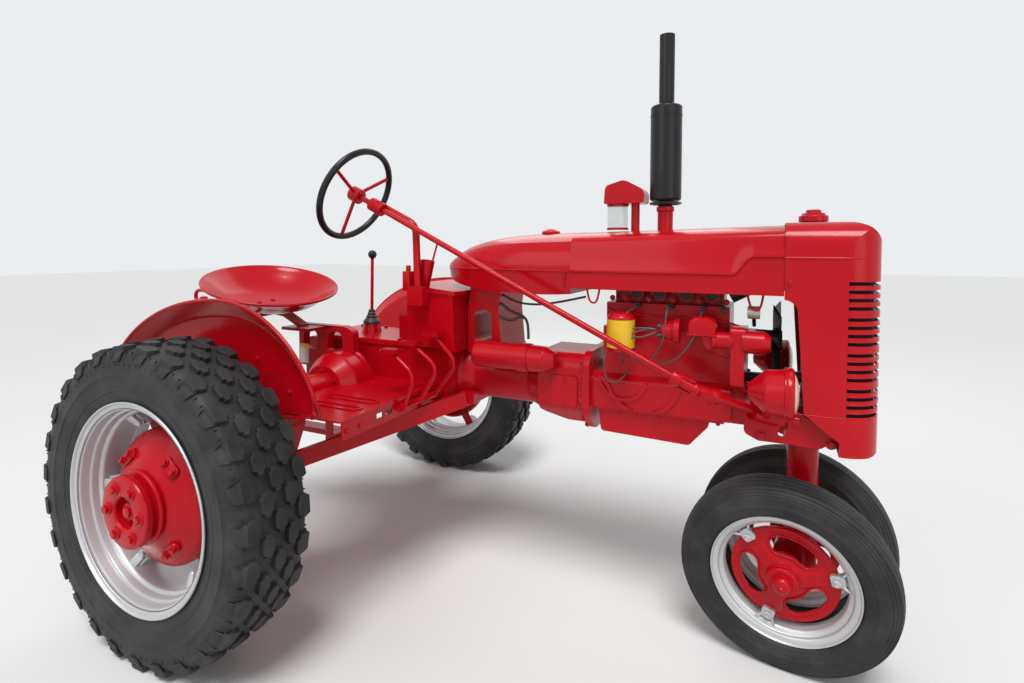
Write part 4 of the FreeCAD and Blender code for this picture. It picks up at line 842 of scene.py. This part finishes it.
# tank: the crease line of the hood runs on round its side
tank = {
    "bead": [(370, 186.2), (250, 183), (120.5, 178.2), (30, 164), (-39.5, 152.5), (-90, 130), (-139.5, 106), (-172, 76),
             (-190, 48)], "level": 1218.5,
    "strap": [(352, -172, 1150), (352, -186, 1190), (352, -188.5, 1222)]}


def makeTankTrim():
    bead = pipe("tankBead", [(x, -y, tank["level"]) for x, y in tank["bead"]], 3.6)
    keep(joined("tankBead", [bead, copied(bead, mirrorY)]), "red")
    keep(pipe("tankStrap", tank["strap"], 4), "red")
    print("tank done")


makeTankTrim()


# fenders: a flat pan with a flared band and a rolled bead, rounded off at its front lower corner
fender = {
    "middle": (-662.5, 664.1), "front": 458, "back": 647, "band": 63, "plateY": 690, "lipY": 742,
    "turns": (175.6, 25.5),
    "corner": [  # outer point, inner point and how far the lip stands out, past the end of the curve
        ((-242.5, 832), (-300, 812), 46), ((-243, 806), (-298, 799), 34), ((-253, 786), (-300, 788), 22),
        ((-272, 771), (-307, 778), 12), ((-300, 763), (-320, 769), 5)],
    "levels": [(0.0, 0.0), (0.06, 0.02), (0.14, 0.08), (0.24, 0.19), (0.60, 0.58), (1.0, 1.0)], "flatRows": 3,
    "fold": [(-420, -692.5, 750.5), (-620, -692.5, 735), (-1240, -692.5, 700)],
    "bracket": ((-679.5, -690, 761), (-569.5, -655.3, 811)),
    "bolts": ((-395, 835), (-540, 930), (-660, 786), (-590, 786))}


def fenderStations():
    shape = fender
    stations = []
    first, last = shape["turns"]
    for step in range(57):
        angle = math.radians(first - (first - last) * step / 56)
        reach = shape["front"] if angle < math.pi / 2 else shape["back"]
        outer, inner = [(shape["middle"][0] + (reach - grow) * math.cos(angle),
                         shape["middle"][1] + (shape["front"] - grow) * math.sin(angle)) for grow in (0, shape["band"])]
        stations.append((outer, inner, shape["lipY"] - shape["plateY"]))
    return stations + shape["corner"]


def makeFenders():
    shape = fender
    stations = fenderStations()
    flat = shape["flatRows"]
    first, last = Vector(stations[0][1]), Vector(stations[-1][1])

    def panSpot(column, row):
        outer, inner, stand = stations[column]
        if row < flat:  # from the straight lower edge up to the band
            spot = first.lerp(last, column / (len(stations) - 1)).lerp(Vector(inner), row / flat)
            return spot.x, -shape["plateY"], spot.y
        share, flare = shape["levels"][row - flat]
        spot = Vector(inner).lerp(Vector(outer), share)
        return spot.x, -shape["plateY"] - stand * flare, spot.y

    pan = gridOf("fenderPan", len(stations), flat + len(shape["levels"]), panSpot)
    editAll(pan)
    bpy.ops.mesh.remove_doubles(threshold=0.2 * mm)
    editDone()
    smoothed(applied(pan, "SOLIDIFY", thickness=4 * mm, offset=0), 30)
    rim = [(outer[0], -shape["plateY"] - stand, outer[1]) for outer, inner, stand in stations]
    corner = stations[-1][0]
    parts = [pan, pipe("fenderBead", rim, 5.8), pipe("fenderFold", [(corner[0], -693, corner[1])] + shape["fold"],
                                                     3.6, 3),
             slab("fenderBracket", *shape["bracket"], 3)]
    parts += [headAt((x, -692, z), -alongY, 7.5, 6) for x, z in shape["bolts"]]
    right = joined("fenderRight", parts)
    left = copied(right, mirrorY, "fenderLeft")
    for side in (right, left):
        keep(side, "red", ["fenders"])
    print("fenders done")


makeFenders()


# seat: a shallow pressed pan with a rolled rim on its leaf, and the hooked links under it
seat = {
    "foot": (-914.5, -310, 1055.5), "lean": (0.24, -0.119, 1.0),
    "pan": [(0, 0), (87, 2), (140, 11), (185, 31), (214, 55), (238, 73), (251, 81), (258, 84), (262, 86), (265.5, 89.5),
            (266, 93), (264, 96.5), (260, 97.6), (255, 95.5), (249, 89), (236, 79.5), (210, 61), (182, 38), (138, 18),
            (87, 8), (0, 6)],
    "padBolts": (0.6, 2.2, 3.8, 5.4), "boltRing": 44, "linkY": -450, "linkRadius": 7.5,
    "links": [
        [(-1130, 1118), (-1172, 1122), (-1192, 1100), (-1184, 1074), (-1160, 1066), (-1140, 1080)],
        [(-940, 1040), (-962, 1024), (-950, 998), (-922, 992), (-905, 1008)],
        [(-862, 1028), (-832, 1026), (-815, 1004), (-828, 980), (-852, 976)]],
    "bars": [  # ends, radius, sides and edge
        ((-1140, -450, 1080), (-940, -440, 1030), 8, 16, 1), ((-930, -450, 1030), (-930, -310, 1036), 7, 16, 1),
        ((-856, -450, 1024), (-856, -310, 1030), 7, 16, 1), ((-905, -462, 1008), (-905, -438, 1008), 14, 20, 2),
        ((-1140, -462, 1080), (-1140, -438, 1080), 14, 20, 2)],
    "tag": ((-829, -234.2, 806), (-777, -232.5, 888)), "tagHead": ((-829, -235, 870), (-777, -234.2, 888))}


def makeSeat():
    keep(spun("seatPan", seat["pan"], seat["foot"], seat["lean"], 96, 50), "red", ["seat_pan"])
    foot, lean = Vector(seat["foot"]), Vector(seat["lean"]).normalized()
    pad = [stub("seatPad", foot - lean * 20, foot + lean, 60, 32, 3, 74)]
    for angle in seat["padBolts"]:
        out = Vector((math.cos(angle), math.sin(angle), 0))
        pad.append(headAt(foot + (out - lean * out.dot(lean)) * seat["boltRing"] + lean * 6, lean, 9, 5))
    keep(joined("seatPad", pad), "cast")
    links = [pipe("link", [(x, seat["linkY"], z) for x, z in path], seat["linkRadius"]) for path in seat["links"]]
    links += [stub("linkBar", *bar) for bar in seat["bars"]]
    keep(joined("seatLinks", links), "cast")
    keep(slab("bareTag", *seat["tag"], 0.6), "zinc")
    keep(slab("bareTagHead", *seat["tagHead"], 0.3), "yellow")
    print("seat done")


makeSeat()


# small trim on the stack, the air cleaner, the pedals and under the hood
trim = {
    "stackRings": (12, -276.5), "stackGrow": 1.02, "jarCollars": (4, -3),  # up from the foot, and down from the top
    "hookX": (931, 425), "hookZ": 1148, "hookRadius": 3.4,
    "hook": [(0, -160, 10), (6, -163, -20), (16, -165, -36), (32, -165, -36), (40, -163, -18), (44, -160, 12)],
    "capX": 1111.8, "cap": [(0, 13), (17, 12.4), (21, 10.5), (22.5, 3), (31, 1.5), (33.5, -1), (33.5, -5), (0, -5)],
    "pads": ((-239.5, -375, 924), (-204.5, -300, 944), (-149.5, -238, 974)),
    "ribs": 5, "ribStep": 13, "ribHalf": (2.8, 22.5), "ribLevels": (5.5, 10.5),
    "knob": [(0, 19), (8, 17.6), (14, 13.4), (18, 7), (19.2, 0), (18, -7), (14, -13.6), (8, -19), (0, -19.4)],
    "knobX": -627.5, "knobDrop": 18, "bootFoot": (-633.5, 0, 958),
    "boot": [(0, 62), (13, 61), (15, 56), (14, 50), (19, 44), (18, 38), (25, 31), (24, 25), (32, 16), (38, 8),
             (38, 0), (0, 0)]}


def upright(node):  # middle line, radius, foot and top of an upright node
    low, high = [Vector(corner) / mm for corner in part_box(node)]
    return (low.x + high.x) / 2, (low.y + high.y) / 2, (high.x - low.x) / 2, low.z, high.z


def makeTrim():
    x, y, radius, foot, top = upright("muffler")
    reach = radius * trim["stackGrow"]
    up, down = trim["stackRings"]
    rings = [spun("stackRing", [(reach - 5, -4), (reach, -2.8), (reach, 2.8), (reach - 5, 4)], (x, y, level), alongZ,
                  48)
             for level in (foot + up, top + down)]
    keep(joined("stackRings", rings), "black")
    x, y, radius, foot, top = upright("precleaner_jar")
    up, down = trim["jarCollars"]
    collar = [(radius - 4, -4), (radius + 2.4, -4), (radius + 3, -2), (radius + 3, 3), (radius + 2.4, 4),
              (radius - 4, 4)]
    collars = [spun("jarCollar", collar, (x, y, level), alongZ, 40) for level in (foot + up, top + down)]
    keep(joined("jarCollars", collars), "red")
    hooks = [pipe("hook", [(start + x, y, trim["hookZ"] + z) for x, y, z in trim["hook"]], trim["hookRadius"])
             for start in trim["hookX"]]
    keep(joined("hoodHooks", hooks), "cast")
    keep(spun("fillerCap", trim["cap"], (trim["capX"], 0, upright("radiator_shell")[4]), alongZ, 40), "red")
    halfX, halfY = trim["ribHalf"]
    low, high = trim["ribLevels"]
    ribs = []
    for x, y, z in trim["pads"]:
        for step in range(trim["ribs"]):
            place = x + (step - trim["ribs"] // 2) * trim["ribStep"]
            ribs.append(slab("padRib", (place - halfX, y - halfY, z + low), (place + halfX, y + halfY, z + high), 1.2))
    keep(joined("padRibs", ribs), "cast")
    knobZ = upright("gearshift")[4] - trim["knobDrop"]
    keep(spun("gearKnob", trim["knob"], (trim["knobX"], 0, knobZ), alongZ, 32), "black")
    keep(spun("gearBoot", trim["boot"], trim["bootFoot"], alongZ, 36), "hose")
    print("trim done")


makeTrim()


# headlamps: lens and rim ring
lamp = {
    "spot": (995.8, 262, 891),
    "lens": [(0, 76), (20, 75.2), (38, 72.6), (50, 68.6), (58, 63.6), (60.5, 60), (0, 58)],
    "ring": [(59, 59), (61, 63.6), (66, 63.8), (71.6, 60), (73.4, 55), (73.4, 47), (71.8, 44.5), (73, 42.5), (73, 39.5),
             (70, 38), (60, 50)]}


def makeLamps():
    x, y, z = lamp["spot"]
    spots = [(x, side * y, z) for side in (-1, 1)]
    keep(joined("lampLenses", [spun("lens", lamp["lens"], spot, alongX, 64) for spot in spots]), "lens")
    keep(joined("lampRings", [spun("lampRing", lamp["ring"], spot, alongX, 72) for spot in spots]), "red")
    print("lamps done")


makeLamps()


# steering: the ears of the joint, the fittings beside the post and the nut on the wheel's hub
steering = {
    "ear": [(-12, 52), (-11, 17), (-7, 9), (7, 9), (11, 17), (12, 52)],  # across, and back from the joint
    "earStand": 16.5, "earWall": 8, "pinPlace": 22, "pinLength": 12, "collar": (46, 78, 22.5),
    "box": ((-283, -246, 1133), (-251, -210, 1208)),
    "knob": ((-267, -228, 1206), (-267, -228, 1230), 9.5),
    "cup": [(0, 0), (18, 0), (19.5, 2), (28, 112), (26, 113.5), (24.5, 112), (17, 8), (0, 8)],
    "cupFoot": (-227.5, -181, 1137), "cupLean": (17, 0, 108),
    "rod": ((-204, -181, 1195), (-158, -188, 1325), 3.8), "nut": (20, 34, 15)}


def makeSteering():
    hub, shaftWay = [Vector(joints["steering_wheel_turn"][key]) for key in ("pos_m", "axis")]
    centre, stubWay = [Vector(joints["steering_stub_turn"][key]) for key in ("pos_m", "axis")]
    hub, centre = hub / mm, centre / mm
    shaftWay.normalize()
    stubWay.normalize()
    pinWay = shaftWay.cross(stubWay).normalized()
    start, end, radius = steering["collar"]
    for body, way, pin, name in (("steering_wheel", -shaftWay, pinWay, "shaftEars"),
                                 ("steering_stub", stubWay, stubWay.cross(pinWay), "stubEars")):
        side = way.cross(pin).normalized()
        ears = []
        for out in (-pin, pin):
            base = centre + out * steering["earStand"]
            ring = [base + side * across + way * back for across, back in steering["ear"]]
            middle = base + way * steering["pinPlace"]
            ears += [plate("ear", ring, out * steering["earWall"], 1.5),
                     stub("pin", middle, middle + out * steering["pinLength"], 6, 16, 1)]
        ears += [stub("collar", centre + way * start, centre + way * end, radius, 24, 2),
                 headAt(centre + way * (start + end) / 2 + side * (radius - 0.5), side, 5.5, 6)]
        keep(joined(name, ears), "cast", body=body)
    fittings = [slab("postBox", *steering["box"], 3), stub("postKnob", *steering["knob"], 24, 3),
                spun("postCup", steering["cup"], steering["cupFoot"], steering["cupLean"], 40, 40),
                stub("postRod", *steering["rod"], 16, 1)]
    keep(joined("postFittings", fittings), "cast")
    start, end, radius = steering["nut"]
    keep(stub("hubNut", hub - shaftWay * start, hub - shaftWay * end, radius, 6, 1.5), "cast", body="steering_wheel")
    print("steering done")


makeSteering()


# engine: the parts that hang on its right side
engine = {
    "label": [(45.1, 13), (45.5, 13), (45.5, 104), (45.1, 104)], "labelFoot": (550.5, -188, 961.1),
    "labelStart": (0.90, 0.43, 0), "labelTurn": 215,
    "leads": [  # radius and path
        (2.8, [(698, -118, 1116), (698, -190, 1112), (696, -205, 1060), (688, -205, 990), (640, -190, 930),
               (615, -150, 915)]),
        (2.8, [(801, -118, 1100), (801, -205, 1098), (792, -210, 1040), (750, -210, 965), (690, -200, 925),
               (620, -150, 925)]),
        (2.8, [(598, -116, 1104), (578, -190, 1100), (555, -200, 1062), (575, -203, 1034), (620, -205, 1044),
               (662, -195, 1040)]),
        (3.0, [(662, -190, 1036), (610, -208, 1040), (562, -206, 990), (548, -190, 930), (550, -150, 915)]),
        (3.0, [(664, -195, 1030), (630, -210, 1012), (585, -208, 1012), (572, -205, 965), (600, -190, 930),
               (612, -150, 920)]),
        (2.8, [(500, -160, 960), (495, -195, 935), (500, -200, 870), (530, -200, 850), (562, -190, 872),
               (572, -150, 895)])],
    "lines": [
        (3.6, [(935, -150, 1045), (900, -132, 1060), (860, -112, 1066), (700, -109, 1070), (560, -109, 1072),
               (500, -109, 1078), (484, -106, 1095)]),
        (4.2, [(905, -118, 945), (860, -110, 962), (760, -108, 966), (640, -108, 958), (520, -110, 962),
               (484, -106, 980)])],
    "plugX": (592.5, 700, 800, 862), "plugZ": 1106,
    "ports": (585, 660, 745, 825), "portZ": 1146, "portRim": [(18, 0), (19, 5), (22, 5.5), (24, 0)],
    "corePlugs": (505, 655, 835), "corePlug": [(0, 1.6), (13, 1.4), (17.5, 3.4), (19, 3), (20, 0), (0, -2)],
    "canister": ((930, -105, 1098), (966, -105, 1098), 20),
    "clip": [(948, -88, 1086), (948, -70, 1070), (948, -40, 1050)]}

magneto = {
    "nose": [(0, -112), (20, -111), (27, -104), (31, -80), (34, -72), (38, -68), (38, -52), (0, -50)],
    "middle": (790, -180, 1036), "towerX": (690, 668), "towers": ((-13, 10), (13, 10), (-13, -12), (13, -12)),
    "cover": [(765, 1028), (845, 1028), (848, 1062), (838, 1078), (820, 1086), (788, 1086), (770, 1078), (764, 1062)],
    "belt": [(762, 1030), (850, 1030), (850, 1036), (762, 1036)],
    "foot": [(800, 1030), (842, 1030), (838, 1000), (826, 985), (812, 1000)]}


def routes(name, kind, rows, look, bend=4):
    keep(joined(name, [pipe(kind, path, radius, bend) for radius, path in rows]), look)


def makeMagneto():
    def sidePlate(name, y, depth, edge):
        return plate(name, [(x, y, z) for x, z in magneto[name]], (0, depth, 0), edge)

    x, y, z = magneto["middle"]
    start, end = magneto["towerX"]
    nose = spun("magnetoNose", magneto["nose"], magneto["middle"], alongX, 40)
    plates = [sidePlate("cover", -214, 70, 8), sidePlate("belt", -216.5, 70, 2), sidePlate("foot", -204, 60, 4)]
    keep(joined("magneto", [nose] + plates), "cast", ["distributor"])
    towers = [stub("tower", (start, y + across, z + up), (end, y + across * 1.5, z + up * 1.5), 8, 14, 2)
              for across, up in magneto["towers"]]
    keep(joined("magnetoTowers", towers), "hose")


def makeEngine():
    label = spun("filterLabel", engine["label"], engine["labelFoot"], alongZ, 40, 60, math.radians(engine["labelTurn"]),
                 Vector(engine["labelStart"]))
    keep(label, "yellow")
    routes("plugLeads", "lead", engine["leads"], "lead")
    boots = []
    for x in engine["plugX"]:
        z = engine["plugZ"]
        boots += [stub("boot", (x, -104, z), (x, -135, z), 9, 16, 2),
                  stub("cap", (x, -130, z), (x, -150, z - 4), 6.5, 16, 2)]
    keep(joined("plugBoots", boots), "hose")
    makeMagneto()
    keep(stub("paleCanister", *engine["canister"], 32, 3), "zinc")
    keep(pipe("canisterClip", engine["clip"], 6), "black")
    z = engine["portZ"]
    # the dark discs in the ports are painted shade for their hollow insides
    ports = [stub("port", (x, -104, z), (x, -108, z), 19, 28, 1) for x in engine["ports"]]
    rims = [spun("portRim", engine["portRim"], (x, -104.5, z), -alongY, 28) for x in engine["ports"]]
    keep(joined("headPortShades", ports), "portShade")
    keep(joined("headPortRims", rims), "cast")
    plugs = [spun("corePlug", engine["corePlug"], (x, -103.5, 1005), -alongY, 28) for x in engine["corePlugs"]]
    keep(joined("corePlugs", plugs), "cast")
    routes("engineLines", "line", engine["lines"], "cast")
    print("engine done")


makeEngine()


# bolt rows on the castings
def bothSides(y, spots):
    return [((x, side * y, z), (0, side, 0)) for side in (-1, 1) for x, z in spots]


def ringSpots(x, z, radius, count, turned=0.0):
    angles = [fullTurn * (index + turned) / count for index in range(count)]
    return [(x + radius * math.cos(angle), z + radius * math.sin(angle)) for angle in angles]


boltRows = [  # name, radius, and points with the way that each head looks
    ("bolsterBolts", 12.5, bothSides(160.2, ((1071, 790), (1160, 733), (977, 731)))),
    ("flangeBolts", 9, [((410, side * y, z), -alongX) for side in (-1, 1)
                        for y, z in ((152, 900), (152.5, 835), (152.5, 770), (142, 705), (90, 668))]),
    ("hatchBolts", 6.5, [((x, -158.2, z), -alongY) for x in (345, 418) for z in (838, 752)]),
    ("headBolts", 7.5, [((x, -104.5, 1126.5), -alongY) for x in (500, 545, 622, 702, 785, 868)]),
    ("panBolts", 6.5, [((x, side * 128, 742), -alongZ) for side in (-1, 1) for x in (470, 535, 600, 665, 730, 795,
                                                                                     850)]),
    ("lidBolts", 8, [((x, y, 918), alongZ) for x in (-800, -660, -520, -380) for y in (-135, 135)]),
    ("coverBolts", 8, [((927.2, y, z), alongX) for y,
                       z in ((-105, 990), (-105, 870), (105, 990), (105, 870), (-60, 760),
                                                            (60, 760))]),
    ("drumBolts", 7.5, bothSides(350.5, ringSpots(-589.5, 747, 68, 6, 0.5))),
    ("driveBolts", 8, bothSides(655.2, ringSpots(-589.5, 747, 88, 8))),
    ("apronBolts", 7, [((-189, y, 728), alongX) for y in (-660, -600, -400, -360, -200)], "red"),
    ("tubeBolts", 9, [((-117.2, y, z), alongX) for y, z in ringSpots(0, 799, 128, 10, 0.5)])]

for row in boltRows:
    bolts(*row)
print("bolts done")


# cables from under the tank, and hoses to the radiator
hoses = {
    "cables": [
        (5, [(-30, -100, 1118), (20, -105, 1085), (60, -105, 1035), (115, -100, 1022), (150, -100, 1045),
             (165, -100, 1035)]),
        (5, [(0, -90, 1130), (60, -95, 1090), (110, -98, 1055), (155, -100, 1048), (182, -100, 1020),
             (185, -110, 960)]),
        (4, [(30, -80, 1140), (100, -85, 1095), (200, -90, 1085), (300, -90, 1100), (400, -95, 1125)])],
    "radiator": [
        (21, [(875, 0, 1135), (930, 0, 1165), (1000, 0, 1200), (1070, 0, 1225), (1094, 0, 1225)]),
        (18, [(920, 60, 860), (990, 60, 860), (1050, 60, 875), (1094, 60, 875)])]}

routes("batteryCables", "cable", hoses["cables"], "hose")
routes("radiatorHoses", "hose", hoses["radiator"], "hose", 6)
print("hoses done")


# studio, in metres
studio = {
    "floorSize": 60, "floorColours": ((0.70, 0.70, 0.69, 1), (0.66, 0.66, 0.655, 1)),
    "sunWay": (-0.16, 0.50, -1.0), "sunAngle": 24, "sunPower": 2.5, "aim": (0.1, 0, 0.7),
    "lamps": [("keySoft", (-1.6, -4.4, 3.6), 3.0, 45), ("fillSoft", (4.6, -3.4, 2.2), 3.0, 34),
              ("backSoft", (-1.0, 4.0, 4.6), 3.6, 60)],  # place, size and power
    "sky": (0.92, 0.94, 0.96, 1), "skyLight": 0.42, "skySeen": 0.90}


def makeFloor():
    letGo()
    bpy.ops.mesh.primitive_plane_add(size=studio["floorSize"], location=(0, 0, 0))
    floor = named("studioFloor")
    paleFloor = Finish("paleFloor")
    colour = paleFloor.mixed(paleFloor.noise(0.6, 2.0), *studio["floorColours"])
    floor.data.materials.append(paleFloor.give(Base_Color=colour, Roughness=0.85))


def addLamp(kind, name, place, way, power):
    bpy.ops.object.light_add(type=kind, location=place)
    light = named(name)
    light.data.energy = power
    light.rotation_euler = way.to_track_quat("-Z", "Y").to_euler()
    return light.data


def makeSky():
    world = bpy.data.worlds.new("studioWorld")
    world.use_nodes = True
    bpy.context.scene.world = world
    tree = world.node_tree
    ground = tree.nodes["Background"]
    ground.inputs["Color"].default_value = studio["sky"]
    path = tree.nodes.new("ShaderNodeLightPath")
    seen = path.outputs["Is Camera Ray"]
    for ray in ("Is Glossy Ray", "Is Transmission Ray"):  # metal and glass show the pale background too
        either = tree.nodes.new("ShaderNodeMath")
        either.operation = "MAXIMUM"
        tree.links.new(seen, either.inputs[0])
        tree.links.new(path.outputs[ray], either.inputs[1])
        seen = either.outputs[0]
    level = tree.nodes.new("ShaderNodeMix")
    level.inputs[2].default_value = studio["skyLight"]
    level.inputs[3].default_value = studio["skySeen"]
    tree.links.new(seen, level.inputs[0])
    tree.links.new(level.outputs[0], ground.inputs["Strength"])


def makeStudio():
    makeFloor()
    sun = addLamp("SUN", "softSun", (0, -3, 6), Vector(studio["sunWay"]), studio["sunPower"])
    sun.angle = math.radians(studio["sunAngle"])
    for name, place, size, power in studio["lamps"]:
        addLamp("AREA", name, place, Vector(studio["aim"]) - Vector(place), power).size = size
    makeSky()
    bpy.context.scene.view_settings.view_transform = "Standard"
    print("studio done")


# camera at the photograph's place and angle
eye = {
    "place": (0.9966, -1.9771, 1.3000), "yaw": -0.4401, "pitch": 0.0373, "roll": -0.0018, "sensor": 36, "lens": 19.42,
    "shift": -0.0719, "near": 0.05}


def makeCamera():
    bpy.ops.object.camera_add(location=eye["place"])
    camera = named("photoCamera")
    camera.data.sensor_width = eye["sensor"]
    camera.data.lens = eye["lens"]
    camera.data.shift_y = eye["shift"]
    camera.data.clip_start = eye["near"]
    yaw, pitch = eye["yaw"], eye["pitch"]
    ahead = Vector((math.sin(yaw) * math.cos(pitch), math.cos(yaw) * math.cos(pitch), -math.sin(pitch)))
    turned = ahead.to_track_quat("-Z", "Y").to_matrix() @ Matrix.Rotation(-eye["roll"], 3, "Z")
    camera.rotation_euler = turned.to_euler()
    bpy.context.scene.camera = camera
    print("camera done")


makeStudio()
makeCamera()
